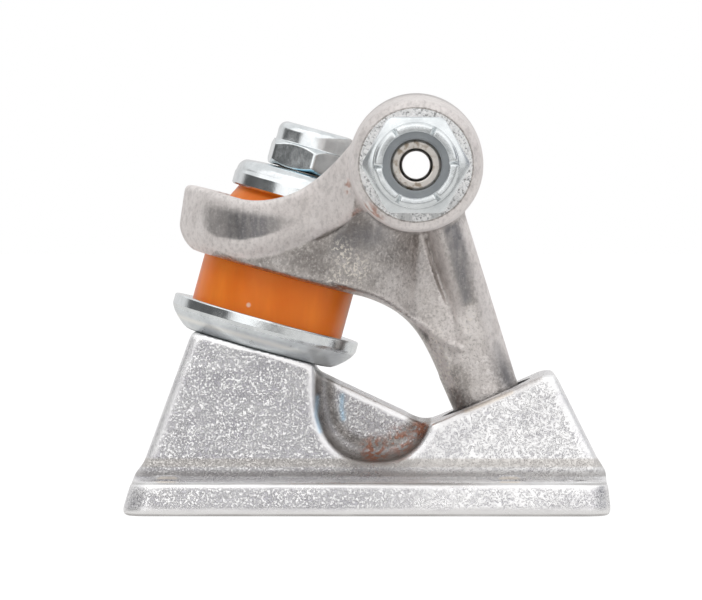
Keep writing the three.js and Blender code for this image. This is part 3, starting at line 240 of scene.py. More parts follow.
def creased(width, run, crease):
    """From a rounded lower edge at [0, 0] out to a crease at [width, run]."""
    angles = np.radians(np.linspace(0, crease, 15))
    end = angles[-1]
    across, up = width / math.sin(end), run / (1 - math.cos(end))
    return [(across * math.sin(a), up * (1 - math.cos(a))) for a in angles]


def web_section(low, high, half, low_run, high_run, crease):
    """A flat-sided ring between two edges in the plane y = 0: flat faces at y = half either way."""
    length = (high - low).length
    up = (high - low) / length
    side = creased(half, low_run, crease)
    side += [(half, z) for z in np.linspace(low_run, length - high_run, 18)[1:-1]]
    side += [(half * y, length - high_run * (1 - z)) for y, z in arc(0, 0, 1, 0, 90, 10)]
    mirrored = [(-y, z) for y, z in side[-2:0:-1]]
    return [low + up * z + Y * y for y, z in side + mirrored]


def arm_section(centre, outward, up, half, half_height):
    """A band with a flat outer face, a creased bevel under it and small rounded edges."""
    low, r, bevel, crease = -half_height, 1.1, 3.2, 62
    start = half - 1.05 * bevel
    side = [(o, low) for o in np.linspace(r - half, start, 8)[1:-1]]
    side += [(start + o, low + u) for o, u in creased(half - start, bevel, crease)]
    side += [(half, u) for u in np.linspace(low + bevel, half_height - r, 14)[1:-1]]
    side += arc(half - r, half_height - r, r, 0, 90) + arc(r - half, half_height - r, r, 90, 180)
    side += [(-half, u) for u in np.linspace(half_height - r, low + r, 14)[1:-1]]
    side += arc(r - half, low + r, r, 180, 270)
    return [centre + outward * o + up * u for o, u in side]


def rounded_rectangle(left, right, half_width, radius, z):
    corners = (
        (right - radius, half_width - radius, 0),
        (left + radius, half_width - radius, 90),
        (left + radius, radius - half_width, 180),
        (right - radius, radius - half_width, 270),
    )
    return [Vector((x, y, z)) for cx, cy, a in corners for x, y in arc(cx, cy, radius, a, a + 90)]


def applied(obj, kind, **settings):
    """Applies one modifier to a mesh object and keeps the result."""
    modifier = obj.modifiers.new(kind, kind)
    for key, value in settings.items():
        setattr(modifier, key, value)
    bpy.context.view_layer.update()
    mesh = bpy.data.meshes.new_from_object(obj.evaluated_get(bpy.context.evaluated_depsgraph_get()))
    obj.modifiers.clear()
    old, obj.data = obj.data, mesh
    bpy.data.meshes.remove(old)
    return obj


def combined(obj, operation, *tools):
    """Joins tools to a solid, or cuts them out of it, and removes them."""
    for tool in tools:
        applied(obj, "BOOLEAN", operation=operation, object=tool, solver="MANIFOLD")
        bpy.data.objects.remove(tool)
    return obj


def around(values, ends, count):
    """The mean of each point's neighbours."""
    total = np.zeros((count, values.shape[1]))
    for a, b in ((0, 1), (1, 0)):
        for axis in range(values.shape[1]):
            total[:, axis] += np.bincount(ends[:, a], values[ends[:, b], axis], count)
    links = np.bincount(ends.ravel(), minlength=count)
    return total / np.maximum(links, 1)[:, None]


FILLED = 4e-6  # metres: how hollow a point is that fills at full speed


def relaxed(obj, rounds, fill_rounds, yielding):
    """Rounds a dense skin like a casting: a few rounds everywhere, more where it is hollow.
    yielding(points) gives how far each point may move, from 0 to 1."""
    mesh = obj.data
    ends = edges_of(mesh)
    co = positions(mesh)
    weight = yielding(co / METRES)[:, None]
    for _ in range(rounds):
        co = mix(co, around(co, ends, len(co)), 0.5 * weight)
    for _ in range(fill_rounds):
        move_points(mesh, co)
        step = around(co, ends, len(co)) - co
        outward = np.einsum("ij,ij->i", step, normals_of(mesh))
        co = co + step * (np.clip(outward / FILLED, 0, 1) * 0.5)[:, None] * weight
    move_points(mesh, co)
    return obj


def line_distance(points, line):
    """Distance of each point from a broken line in the plane y = 0."""
    flat = points[:, [0, 2]]
    best = np.full(len(flat), 1e9)
    for a, b in zip(np.array(line)[:-1], np.array(line)[1:]):
        t = np.clip((flat - a) @ (b - a) / np.dot(b - a, b - a), 0, 1)
        best = np.minimum(best, np.hypot(*(flat - a - t[:, None] * (b - a)).T))
    return best


def strokes(points, lines):
    """The sum of soft strokes along lines of (x, z) points, each (strength, half width, points)."""
    total = np.zeros(len(points))
    for strength, width, line in lines:
        total += strength * np.exp(-((line_distance(points, line) / width) ** 2))
    return total


def carved(obj, lines, furthest=9):
    """Raises or sinks both side faces along strokes, except further from the middle plane."""
    mesh = obj.data
    co = positions(mesh) / METRES
    facing = rising(np.abs(normals_of(mesh)[:, 1]), 0.15, 0.5) * (np.abs(co[:, 1]) < furthest)
    co[:, 1] += np.sign(co[:, 1]) * strokes(co, lines) * facing
    move_points(mesh, co * METRES)
    return obj


def mark(obj, name, values):
    """Stores a number from -1 to 1 at each point, for the materials."""
    attribute = obj.data.attributes.new(name, "FLOAT", "POINT")
    attribute.data.foreach_set("value", np.clip(values, -1, 1).astype(np.float32))
    return obj


def mark_relief(obj, rounds=9, full=0.12):
    """Stores how far each point stands out of its surroundings, where 1 is the full height."""
    ends = edges_of(obj.data)
    co = positions(obj.data)
    smooth = co
    for _ in range(rounds):
        smooth = mix(smooth, around(smooth, ends, len(co)), 0.5)
    height = np.einsum("ij,ij->i", co - smooth, normals_of(obj.data))
    return mark(obj, "relief", height / (full * METRES))


def dressed(obj, material, sharp):
    """Shades a piece smoothly, but not across edges sharper than so many degrees."""
    obj.data.shade_smooth()
    obj.data.set_sharp_from_angle(angle=math.radians(sharp))
    obj.data.materials.clear()
    obj.data.materials.append(material)


def finished(obj, material, slot, body, *nodes, sharp=35):
    """Dresses a piece and puts it on its body in place of its nodes."""
    dressed(obj, material, sharp)
    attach(obj, body)
    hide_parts(*nodes)


# Heights along the kingpin's axis.
RING_BOTTOM = 39.05
RING_LOWER_SEAT = 40.45
RING_UPPER_SEAT = 45.85
RING_TOP = 49.05
RING_CENTRE = 44.05
LOWER_CUP_BOTTOM = 26.65
LOWER_BUSHING = (28.8, 40.3)
UPPER_BUSHING = (46.0, 53.3)
UPPER_CUP = (53.45, 55.55)
KINGPIN_NUT_BOTTOM = 55.7
KINGPIN_TOP = 62.9
# Radii of holes.
SHANK_HOLE = 4.91
CUP_HOLE = 5.06
AXLE_HOLE = 4.12
VOXEL = 0.34  # grain of the remeshed castings

# Baseplate
BASE_LENGTH, BASE_WIDTH = 76.7, 55.0
FLANGE_THICKNESS = 5.4
FLANGE_DRAFTS = (16.2, 5.8, 6.3)  # degrees: rear, front, sides
FLANGE_EDGE = 0.7
FLANGE_CORNER = 4.2
BODY_HALF_WIDTH = 14.7
BODY_SIDE_DRAFT = 6  # degrees
REAR_SLOPE, FRONT_SLOPE = 20.1, 26.5  # degrees from upright
FOOT_FILLET = 3
TOWER_HEIGHT = 26.5
SEAT_HEIGHT = 6.0
WEB_REAR = on_kingpin(9.1, TOWER_HEIGHT).x  # where the low web between tower and pivot housing starts
WEB_FRONT = on_pivot(-8.4, SEAT_HEIGHT).x
SCOOP_RADIUS = 11.8
SCOOP_CENTRE = ((WEB_FRONT + WEB_REAR) / 2, FLANGE_THICKNESS + 2.5 + SCOOP_RADIUS)
SCOOP_HALF_LENGTH = (WEB_FRONT - WEB_REAR) / 2 - 0.6
SCOOP_SQUARENESS = 2.4
BOLT_HOLE_RADIUS = 2.75
BOLTS_LENGTHWAYS, BOLTS_ACROSS = (-31.5, 22.5, 32.0), 20.65
HEAD_POCKET, HEAD_POCKET_TOP = 14.6, 8.15  # across the flats, and its height on the kingpin
SOCKET_RADIUS, SOCKET_FLOOR = 7.75, -6.95


def flange():
    rear, front, side = (tangent(d) for d in FLANGE_DRAFTS)

    def ring(z, inset):
        rise = max(z - FLANGE_EDGE, 0)
        return rounded_rectangle(
            inset - BASE_LENGTH / 2 + rise * rear,
            BASE_LENGTH / 2 - rise * front - inset,
            BASE_WIDTH / 2 - rise * side - inset,
            FLANGE_CORNER - inset,
            z,
        )

    edge = FLANGE_EDGE
    lower = [ring(edge + z, edge - x) for x, z in arc(0, 0, edge, -90, 0)]
    upper = [ring(FLANGE_THICKNESS - edge + z, edge - x) for x, z in arc(0, 0, edge, 0, 90)]
    return loft("flange", lower + upper)


def body_block(top):
    drafted = FLANGE_THICKNESS - FLANGE_EDGE
    rear = FLANGE_EDGE - BASE_LENGTH / 2 + drafted * tangent(FLANGE_DRAFTS[0])
    front = BASE_LENGTH / 2 - drafted * tangent(FLANGE_DRAFTS[1]) - 0.3

    def ring(rise, flare):
        return rounded_rectangle(
            rear + rise * tangent(REAR_SLOPE) - min(flare, 0.7),
            front - max(rise - 1, 0) * tangent(FRONT_SLOPE) + min(flare, 0.3),
            BODY_HALF_WIDTH - rise * tangent(BODY_SIDE_DRAFT) + flare,
            1.6,
            FLANGE_THICKNESS + rise,
        )

    r = FOOT_FILLET
    fillet = [ring(rise, flare) for flare, rise in arc(r, r, r, 270, 180)]
    return loft("body", [ring(-1, r), *fillet, ring(top - FLANGE_THICKNESS, 0)])


def top_profile():
    tower_rear = on_kingpin(-BASE_LENGTH / 2, TOWER_HEIGHT + 0.14)
    tower_front = on_kingpin(9.1, TOWER_HEIGHT + 0.14)
    web_start = on_kingpin(10.1, TOWER_HEIGHT - 1)
    seat_start = on_pivot(-8.4, SEAT_HEIGHT)
    seat_end = on_pivot(9.9, SEAT_HEIGHT)
    peak = on_pivot(11.5, SEAT_HEIGHT - 0.53)
    handles = [Vector((seat_start.x - 5.2, 0, 15.3)), Vector((seat_start.x - 2.6, 0, 13.5)), seat_start]
    valley = [bezier(handles, i / 12) for i in range(13)]
    right = BASE_LENGTH / 2 + 5
    drop = (right - peak.x) / tangent(FRONT_SLOPE)
    points = [tower_rear, tower_front, web_start, *valley, seat_end, peak]
    outline = [(tower_rear.x, -5), *((p.x, p.z) for p in points)]
    return outline + [(right, max(peak.z - drop, 0)), (right, -5)]


def prism(name, outline, half):
    """A prism along Y from an outline of (x, z) points."""
    count = len(outline)
    verts = [(x, y, z) for y in (-half, half) for x, z in outline]
    faces = [tuple(range(count)), tuple(range(2 * count - 1, count - 1, -1))]
    faces += [(i, i + count, (i + 1) % count + count, (i + 1) % count) for i in range(count)]
    return make_object(name, verts, faces)


def scoop(side):
    """The dished hollow in one side, to be cut out."""
    wall, edge, depth = 3.8, 1.1, 6.3

    def ring(inset, y):
        centre = Vector((SCOOP_CENTRE[0], side * y, SCOOP_CENTRE[1]))
        halves = SCOOP_HALF_LENGTH - inset, SCOOP_RADIUS - inset
        return section(centre, X, Z * side, *halves, SCOOP_SQUARENESS, 96)

    def leaned(p):
        return p + Vector((0, -side * (p.z - FLANGE_THICKNESS) * tangent(BODY_SIDE_DRAFT), 0))

    floor = BODY_HALF_WIDTH - depth
    walls = [ring(inset, y) for inset, y in arc(wall, floor + wall, wall, 270, 180)]
    around_edge = arc(-edge, BODY_HALF_WIDTH - edge, edge, 0, 90)
    lip = [[leaned(p) for p in ring(inset, y)] for inset, y in around_edge]
    return loft("scoop", [*walls, *lip, ring(-5, BODY_HALF_WIDTH + 8)])


def base_painted_shading(points):
    """Painted shade in the scoops and round the foot; painted cream highlights under the nose and on hole
    rims.
    """
    x, y, z = points.T
    power = SCOOP_SQUARENESS
    across = np.abs(x - SCOOP_CENTRE[0]) / SCOOP_HALF_LENGTH
    up = np.abs(z - SCOOP_CENTRE[1]) / SCOOP_RADIUS
    inset = (1 - (across**power + up**power) ** (1 / power)) * SCOOP_RADIUS
    # The scoops' walls get bands of painted shade, by how far in from the rim each point is.
    insets, wall_shade = (-0.4, 0.1, 0.9, 1.6, 2.5, 3.2, 4.6), (0, 0.9, 0.75, 0.45, 0.85, 0.75, 0)
    wall = np.interp(inset, insets, wall_shade) * (np.abs(y) < 14.4)
    # Painted shade on the fillet round the foot, stronger towards its bottom.
    foot = rising(z, 5.55, 5.9) * (1 - rising(z, 8.0, 8.9)) * (inset < 0)
    foot *= mix(0.55, 0.30, rising(z, 6.2, 7.0))
    # A painted cream highlight along the base's edge under the nose.
    edge = strokes(points, [(1.0, 0.32, [(15.6, 16.0), (19.5, 17.5), (23.0, 19.0)])]) * (np.abs(y) > 8)
    # Painted glints on the bolt holes' rims at the flange's top.
    rims = strokes(points, [(1.2, 0.7, [(x - 0.9, 5.4), (x + 0.9, 5.4)]) for x in BOLTS_LENGTHWAYS[:2]])
    return edge + rims * (np.abs(y) > 16) * (z > 5.3) - np.maximum(wall, foot)


def base_glint(points):
    """Bluish daylight that the rear lips of the scoops have caught."""
    lines = (
        (0.8, 0.30, [(-7.9, 18.2), (-8.1, 15.4), (-7.4, 12.8)]),
        (1.0, 0.36, [(-4.0, 18.3), (-4.1, 16.4), (-3.8, 14.6)]),
    )
    return strokes(points, lines) * (np.abs(points[:, 1]) > 6)


def cast_skin(obj, rounds, fill_rounds, yielding, lines=()):
    """Turns a sharp solid into the dense rounded skin of a casting."""
    applied(obj, "REMESH", mode="VOXEL", voxel_size=VOXEL * METRES, adaptivity=0)
    relaxed(obj, rounds, fill_rounds, yielding)
    return mark_relief(carved(obj, lines))


def in_frame(matrix, points):
    """Points in the coordinates of a tilted frame, one row each."""
    return (np.array(matrix.inverted())[:3] @ np.vstack([points.T, np.ones(len(points))])).T


def baseplate():
    top = TOWER_HEIGHT + BASE_LENGTH / 2 * tangent(KINGPIN_TILT) + 5
    body = combined(body_block(top), "INTERSECT", prism("profile", top_profile(), BASE_WIDTH))
    plate = combined(flange(), "UNION", body)
    combined(plate, "DIFFERENCE", scoop(-1), scoop(1))
    relief = [rounded_rectangle(-6, 9, 6.5, 3, z) for z in (-5, 5.5)]
    combined(plate, "DIFFERENCE", loft("relief", relief))

    def away_from_washer(points):
        """The edge of the tower's top stays crisp beside the cup washer."""
        x, y, z = in_frame(KINGPIN, points).T
        return np.clip(np.maximum((23.5 - z) / 2, (np.abs(x) - 8.5) / 1.5), 0.12, 1)

    cast_skin(plate, 9, 0, away_from_washer)
    points = positions(plate.data) / METRES
    # Painted shade and highlights, then painted glints, stored for the material.
    mark(plate, "painted_shading", base_painted_shading(points))
    mark(plate, "glint", base_glint(points))
    cuts = [
        pin("bolt", BOLT_HOLE_RADIUS, -5, 13.4, Matrix.Translation((x, y, 0)), 64)
        for x in BOLTS_LENGTHWAYS
        for y in (-BOLTS_ACROSS, BOLTS_ACROSS)
    ]
    cuts += [
        pin("shank", SHANK_HOLE, -5, TOWER_HEIGHT + 5, KINGPIN, 96),
        pin("head", HEAD_POCKET / math.sqrt(3), -5, HEAD_POCKET_TOP, KINGPIN, 6),
        pin("socket", SOCKET_RADIUS, SOCKET_FLOOR, SEAT_HEIGHT + 5, PIVOT, 120),
    ]
    combined(plate, "DIFFERENCE", *cuts)
    plate.name = "baseplate_casting"
    return plate


# Hanger
HANGER_WIDTH = 139.7
BARREL_FACE_RADIUS, BARREL_END_RADIUS, BARREL_MIDDLE_RADIUS = 8.45, 9.75, 10.6
NOSE_RADIUS = 5.63
NOSE_CORE = NOSE_RADIUS * 0.98  # the web's end, just inside the nose


def barrel():
    half = HANGER_WIDTH / 2
    overrun = 1.4
    fillet = arc(BARREL_END_RADIUS - 2, half - 2.05, 2.05, 72, 0, 12)
    outer = [(BARREL_FACE_RADIUS, half + overrun), (BARREL_FACE_RADIUS, half)]
    outer += [*fillet, (BARREL_MIDDLE_RADIUS, 20)]
    stations = [(r, -y) for r, y in outer] + [(r, y) for r, y in reversed(outer)]
    rings = []
    for radius, y in stations:
        crown = 0.7 * rising(half - abs(y), 0, half - 20)
        ring = []
        for i in range(160):
            angle = 360 * i / 160
            lift = max(math.sin(math.radians(angle)), 0) ** 2
            ring.append(around_axle(radius + crown * lift, angle, y))
        rings.append(ring)
    return loft("barrel", rings)


def ring_blank():
    profile = [*arc(14, RING_BOTTOM + 1.6, 1.6, -90, 0), (15.6, RING_TOP)]
    return loft("ring", [circle(r, z, KINGPIN, 120) for r, z in profile])


def arm_edge(height, handle, root_angle, root_slope):
    start = on_kingpin(-9, height)
    root = around_axle(BARREL_MIDDLE_RADIUS - 0.5, root_angle)
    arrival = around_axle(2.8, root_slope) - around_axle(0, 0)
    return [start, start + FORWARD_KINGPIN * handle, root - arrival, root]


def leaning(up, towards, degrees):
    return up * math.cos(math.radians(degrees)) + towards * math.sin(math.radians(degrees))


def yoke():
    """The band round the back of the ring, which carries on as the two arms up into the barrel."""
    radius, half, lean = 15.3, 2.4, 7  # the band's middle, half its thickness, degrees
    joint = 21.5  # how far from the middle the arms meet the barrel
    top = arm_edge(RING_TOP, 10.4, 145, 50)
    bottom = arm_edge(RING_BOTTOM, 9.6, 223, 27)
    rear_angle = math.acos(9 / radius)
    centre = on_kingpin(0, RING_CENTRE)
    rear = []
    for angle in np.linspace(-rear_angle, rear_angle, 28)[1:-1]:
        outward = FORWARD_KINGPIN * -math.cos(angle) + Y * math.sin(angle)
        up = leaning(UP_KINGPIN, outward, lean)
        rear.append(arm_section(centre + outward * radius, outward, up, half, 5))

    def arm(side):
        rings = []
        for t in np.linspace(0, 1, 31):
            flare = rising(t, 0.45, 1)
            low = bezier(bottom, t)
            rise = bezier(top, t) - low
            middle = low + rise / 2
            back = min((middle - centre).dot(FORWARD_KINGPIN), 0) / radius
            aside = math.sqrt(1 - back * back)
            outward = FORWARD_KINGPIN * back + Y * (side * aside)
            middle.y = side * mix(radius * aside, joint, flare)
            up = leaning(rise.normalized(), outward, lean * (1 - flare))
            rings.append(arm_section(middle, outward, up, mix(half, 6.6, flare), rise.length / 2))
        return rings

    def sunk(ring, side):
        inside = around_axle(0, 0, side * joint)
        return [p.lerp(inside, 0.4) for p in ring]

    left, right = arm(-1), arm(1)
    return loft("yoke", [sunk(left[-1], -1), *left[::-1], *rear, *right, sunk(right[-1], 1)])


NOSE_RIGHT = on_pivot(NOSE_RADIUS, SEAT_HEIGHT + 1)
COLUMN_TOP_RIGHT = Vector((AXLE_X + 8.4, 0, AXLE_HEIGHT - 9.6))
COLUMN_UP = (COLUMN_TOP_RIGHT - NOSE_RIGHT).normalized()


def column_at(t):
    radius = mix(3.6, NOSE_RADIUS, rising(1 - t, 0.35, 1))
    inward = COLUMN_UP.cross(Y)
    return NOSE_RIGHT.lerp(COLUMN_TOP_RIGHT, t) + inward * radius, inward, radius


def column():
    rings = []
    for t in np.linspace(0, 1, 30):
        centre, inward, radius = column_at(t)
        half_width = mix(NOSE_RADIUS, 5.9, min(2 * t, 1)) + max(2 * t - 1, 0) * 2.1
        squareness = mix(2, 2.3, min(2 * t, 1))
        rings.append(section(centre, Y, inward, half_width, radius, squareness))
    rings.append([p + COLUMN_UP * 4.8 for p in rings[-1]])
    return loft("column", rings)


LOW_RUN_AT = (0, 0.3, 0.36, 0.5, 0.6, 0.7, 0.75, 0.8, 1)
LOW_RUNS = (1.2, 1.0, 0.7, 1.45, 2.4, 3.0, 3.6, 4.4)


def rib(narrow_half_width, bend, upper_end):
    """The web between ring and column. Its flat sides end in a tongue on the strut's front."""
    root, root_half = 12.6, 13  # where the web leaves the ring, and half its width there
    start = on_kingpin(root, RING_BOTTOM)
    end = on_pivot(-NOSE_CORE, SEAT_HEIGHT + 3)
    lower = [start, start + FORWARD_KINGPIN * 10, end + UP_NOSE * 10, end]
    ring_edge = on_kingpin(root, RING_TOP + 5.8)
    under_axle = Vector((AXLE_X + 0.6, 0, AXLE_HEIGHT))
    nose = on_pivot(NOSE_CORE, SEAT_HEIGHT + 3)
    rings = []
    for t in np.linspace(0, 1, 61):
        low = bezier(lower, t)
        if t < 0.42:
            high = ring_edge.lerp(under_axle, t / 0.42)
        else:
            high = bezier([under_axle, bend, upper_end], min((t - 0.42) / 0.38, 1))
            high = high.lerp(nose, max((t - 0.8) / 0.2, 0))
        half = mix(root_half, narrow_half_width, rising(t, -0.12, 0.6))
        half += rising(t, 0.55, 0.9) * (NOSE_CORE - narrow_half_width)
        length = (high - low).length
        low_run = np.interp(t, LOW_RUN_AT, (*LOW_RUNS, length / 2))
        high_run = np.interp(t, (0.78, 0.84, 1), (0.7, min(2.4, length / 3), length / 2))
        crease = np.interp(t, (0.3, 0.4, 0.8, 0.95), (88, 60, 64, 90))
        rings.append(web_section(low, high, half, low_run, high_run, crease))
    beside = [p - FORWARD_KINGPIN * root for p in rings[0]]
    for p in beside:
        p.y *= 15.45 / root_half
    return loft("rib", [beside, *rings])


def nose():
    profile = arc(0, 0, 5.2, -85, 0, 12)
    profile += [(NOSE_RADIUS, SEAT_HEIGHT), (NOSE_RADIUS, 12), (NOSE_RADIUS / 2, 15)]
    return loft("nose", [circle(r, z, PIVOT, 96) for r, z in profile])


def swing_slot(radius, travel, low, high):
    def outline(height):
        ends = arc(0, travel, radius, 0, 180, 24) + arc(0, -travel, radius, 180, 360, 24)
        return [on_kingpin(x, height, y) for x, y in ends]

    return loft("slot", [outline(low), outline(high)])


# Lines on the side of the hanger: x, then z.
UNDER_ARM = (
    (-30, -24.0, -20.9, -17.7, -14.5, -10.6, -6.6, -3.5, -2.4, 0),
    (36, 41.4, 40.3, 40.1, 40.7, 42.2, 44.2, 45.8, 46.5, 60),
)
PANEL_LOW = (-26.4, -25.4, -23.9, -20.0, -16.5, -13.7, -11.1), (46.0, 44.5, 43.6, 43.1, 43.7, 44.6, 45.8)
PANEL_HIGH = (-25.5, -21.5, -16.5, -11.2), (49.3, 48.5, 47.8, 47.3)


def arm_panel(points):
    """1 on the flat panel along the outside of each arm, where a dark reflection is painted."""
    x, y, z = points.T
    inside = rising(z - np.interp(x, *PANEL_LOW), -0.2, 0.25)
    inside *= rising(np.interp(x, *PANEL_HIGH) - z, -0.4, 1.6)
    core = mix(0.55, 1.0, rising(x, -23.5, -20.5))
    return core * inside * rising(x, -27.0, -24.6) * (1 - rising(x, -17.5, -9.5)) * (np.abs(y) > 9)


def hanger_matte_and_lightened(points):
    """1 where the casting is dull and pale: a matte finish on arms and barrel; painted light on the
    column's flank and the web's groove.
    """
    x, y, z = points.T
    arm = rising(z - np.interp(x, *UNDER_ARM), -0.25, 0.25) * (1 - rising(x, -1.5, -0.5))
    barrel = 1 - rising(np.hypot(x - AXLE_X, z - AXLE_HEIGHT), 10.5, 11.3)
    # Painted light on the column's flank.
    flank = rising(x - 18.3 - (47 - z) * 0.225, -4.8, -3.0) * (1 - rising(z, 45, 48)) * rising(z, 20, 27)
    # Painted light in the groove on the web.
    groove = strokes(points, [(0.8, 1.3, [(10.4, 44.0), (11.6, 40.0), (13.0, 36.5), (14.6, 32.0)])])
    groove *= np.abs(y) < 13.5
    return np.maximum.reduce([arm * (1 - arm_panel(points)), barrel, flank, groove])


def hanger_painted_shading(points):
    """Painted light and shade in strokes on web, column and strut, and dark reflections painted on the
    arm panels.
    """
    lines = (
        (-1.0, 1.3, [(13.2, 44.6), (14.3, 40.6), (15.3, 36.0), (15.8, 33.4)]),
        (0.7, 0.5, [(11.3, 44.6), (12.3, 40.8), (13.2, 37.4), (14.2, 34.0)]),
        (1.0, 0.32, [(8.4, 44.2), (9.7, 40.8), (10.6, 39.0)]),
        (0.45, 0.35, [(10.6, 39.0), (12.4, 34.6), (14.8, 29.6)]),
        (1.0, 0.8, [(16.6, 31.9), (16.2, 30.2), (15.9, 29.2)]),
        (1.3, 0.42, [(7.3, 30.3), (10.0, 28.4), (13.3, 25.5), (14.8, 24.0)]),
        (1.3, 0.8, [(10.4, 26.8), (11.8, 23.8), (13.2, 20.0)]),
        (1.0, 0.5, [(12.6, 26.0), (14.2, 23.6)]),
        (-0.5, 0.45, [(9.2, 27.6), (11.4, 25.0), (12.2, 22.0)]),
        (-0.55, 1.3, [(20.4, 26.0), (22.6, 20.4)]),
        (0.9, 0.7, [(17.2, 18.9), (18.0, 17.9)]),
        (-0.7, 3.0, [(-5.0, 42.8), (1.4, 44.0)]),
        (0.55, 4.5, [(4.0, 35.0), (9.5, 32.5), (13.0, 28.5)]),
        (0.55, 2.6, [(17.2, 28.0), (18.3, 20.0)]),
    )
    inner = 1 - rising(np.abs(points[:, 1]), 13.5, 14.5)
    # A thin painted highlight at the rear end of each arm's panel.
    streak = strokes(points, [(0.9, 0.16, [(-25.7, 45.9), (-25.5, 44.9)])]) * (1 - inner)
    return strokes(points, lines) * inner - 0.75 * arm_panel(points) + streak


def hanger_sparkle(points):
    """1 where cream sparkle is painted on the web and the strut: painted glints off their torn grain."""
    lines = (
        (1.0, 1.6, [(-4.6, 41.7), (-3.7, 41.1)]),
        (0.9, 2.4, [(-5.0, 36.6), (-1.6, 38.4)]),
        (1.0, 1.5, [(10.2, 27.2), (11.8, 23.8), (13.4, 19.6)]),
        (0.8, 0.9, [(16.6, 31.9), (16.0, 29.0)]),
    )
    return strokes(points, lines) * (1 - rising(np.abs(points[:, 1]), 13.5, 14.5))


def hanger():
    ridge = rib(4.6, Vector((7.6, 0, 40)), Vector((15.9, 0, 27.7)))
    core = rib(2.9, column_at(1)[0], column_at(0.4)[0])
    blank = combined(barrel(), "UNION", ring_blank(), yoke(), ridge, core, column(), nose())
    combined(
        blank,
        "DIFFERENCE",
        pin("lower_recess", 12.9, RING_BOTTOM - 5, RING_LOWER_SEAT, KINGPIN),
        pin("upper_recess", 13.4, RING_UPPER_SEAT, RING_TOP + 1, KINGPIN),
        pin("ring_hole", 7.6, RING_BOTTOM - 5, RING_TOP, KINGPIN),
        swing_slot(11.7, 4, RING_TOP, 56.05),
        swing_slot(10.1, 5, RING_TOP, 83.9),
    )

    def outside_ring(points):
        """The machined seats of the ring stay crisp."""
        x, y, z = in_frame(KINGPIN, points).T
        return np.clip((np.hypot(x, y) - 13.6) / 1.2, 0.3, 1)

    lines = (
        (0.22, 0.6, [(8.6, 45), (8.9, 43.3), (9.9, 40), (12.1, 34.8), (13.8, 31.9), (15.4, 27.8)]),
        (-0.08, 0.9, [(9.7, 45), (10.1, 43.3), (11.1, 40), (13.4, 35), (15.0, 32.1), (16.3, 28.8)]),
        (0.3, 0.6, [(12.9, 22.6), (12.2, 25), (12.6, 26.6), (14.6, 25.9)]),
        (0.25, 0.5, [(7, 30.6), (8.8, 29.6), (10.5, 28.3), (12.6, 26.8), (14.8, 25.6)]),
        (-0.12, 0.7, [(8.2, 28.8), (9.9, 27.5), (11.8, 25.6), (13.6, 24.4)]),
    )
    cast_skin(blank, 4, 5, outside_ring, lines)
    points = positions(blank.data) / METRES
    # Painted light and shade, matte finish with painted light, and painted sparkle, stored for the
    # material.
    mark(blank, "painted_shading", hanger_painted_shading(points))
    mark(blank, "matte_and_lightened", hanger_matte_and_lightened(points))
    mark(blank, "sparkle", hanger_sparkle(points))
    half = HANGER_WIDTH / 2
    combined(
        blank,
        "DIFFERENCE",
        pin("face", 20, half, half + 10, AXLE, 64),
        pin("face", 20, -half - 10, -half, AXLE, 64),
        pin("bore", AXLE_HOLE, -half - 5, half + 5, AXLE, 96),
    )
    blank.name = "hanger_casting"
    return blank


# Hardware


HEXAGON_STEPS = (0, 0.9, 1.8, 2.7, 3.4, 4.0, 5.2, 6.5, 8.5, 12, 18, 24)
HEXAGON_ANGLES = [
    math.radians(60 * corner + sign * step)
    for corner in range(6)
    for sign, steps in ((-1, (30, *HEXAGON_STEPS[:0:-1])), (1, HEXAGON_STEPS))
    for step in steps
]


def hexagon_radius(flats, angle, rounding=0.85):
    """The outline of a hexagon with rounded corners, from its centre."""
    half = flats / 2
    from_corner = abs((angle + math.pi / 6) % (math.pi / 3) - math.pi / 6)
    from_middle = math.pi / 6 - from_corner
    centre = (half - rounding) / math.cos(math.pi / 6)
    if half * math.tan(from_middle) <= centre / 2:
        return half / math.cos(from_middle)
    reach = rounding**2 - (centre * math.sin(from_corner)) ** 2
    return centre * math.cos(from_corner) + math.sqrt(reach)


def lock_nut(
    name,
    matrix,
    flats,
    hex_height,
    collar_height,
    collar_radius,
    bore,
    insert_radius,
    crimps,
    roll,
    chamfer,
    rounding,
):
    """A zinc-plated lock nut: chamfered hexagon, round collar and a lip rolled over the insert."""
    half, hole = flats / 2, insert_radius
    shoulder, top = hex_height, hex_height + collar_height
    slope = tangent(chamfer)
    cone = collar_radius + 0.3
    columns = []
    for angle in HEXAGON_ANGLES:
        corner = hexagon_radius(flats, angle, rounding)
        rise = max(corner - half + 0.12, 0) * slope
        edge = shoulder - (corner - cone) * slope
        profile = [(bore, 0.5), (bore + 0.5, 0.0), (half - 0.35, 0.0), (half - 0.12, 0.05)]
        profile += [(corner - 0.12, rise - 0.02), (corner - 0.03, rise + 0.05)]
        profile += [(corner, z) for z in (rise + 0.16, rise + 0.3, edge - 0.32, edge - 0.2)]
        profile += [(corner - 0.04, edge - 0.06), (corner - 0.16, edge + 0.16 * slope)]
        profile += [(mix(cone, corner, 0.5), (shoulder + edge) / 2), (cone, shoulder)]
        profile += arc(collar_radius + 0.25, shoulder + 0.25, 0.25, 270, 180, 4)
        profile += arc(collar_radius - roll, top - roll, roll, 0, 88, 10)
        profile += [(hole, top - 0.05), (hole - 0.15, top - 0.2), (hole - 0.12, top - 0.5)]
        profile += [(hole - 0.12, top - 2.0), (bore, top - 2.3)]
        near = max(math.cos(crimps * (angle - 0.05)), 0) ** 40 if crimps else 0
        for i, (r, z) in enumerate(profile):
            if z > top - 1.3 and r > hole - 0.4:
                profile[i] = r - 0.4 * near * (r - hole + 0.7), z - 0.35 * near
        columns.append((angle, profile))
    return turned(name, columns, matrix)


def threaded(r, z, angle, pitch, start, end, depth):
    """Where a thread of that pitch puts a point of a plain rod."""
    phase = (z / pitch - angle / (2 * math.pi)) % 1
    fade = rising(z, start, start + pitch) * (1 - rising(z, end - pitch / 2, end))
    return r - depth * fade * abs(2 * phase - 1) ** 1.2


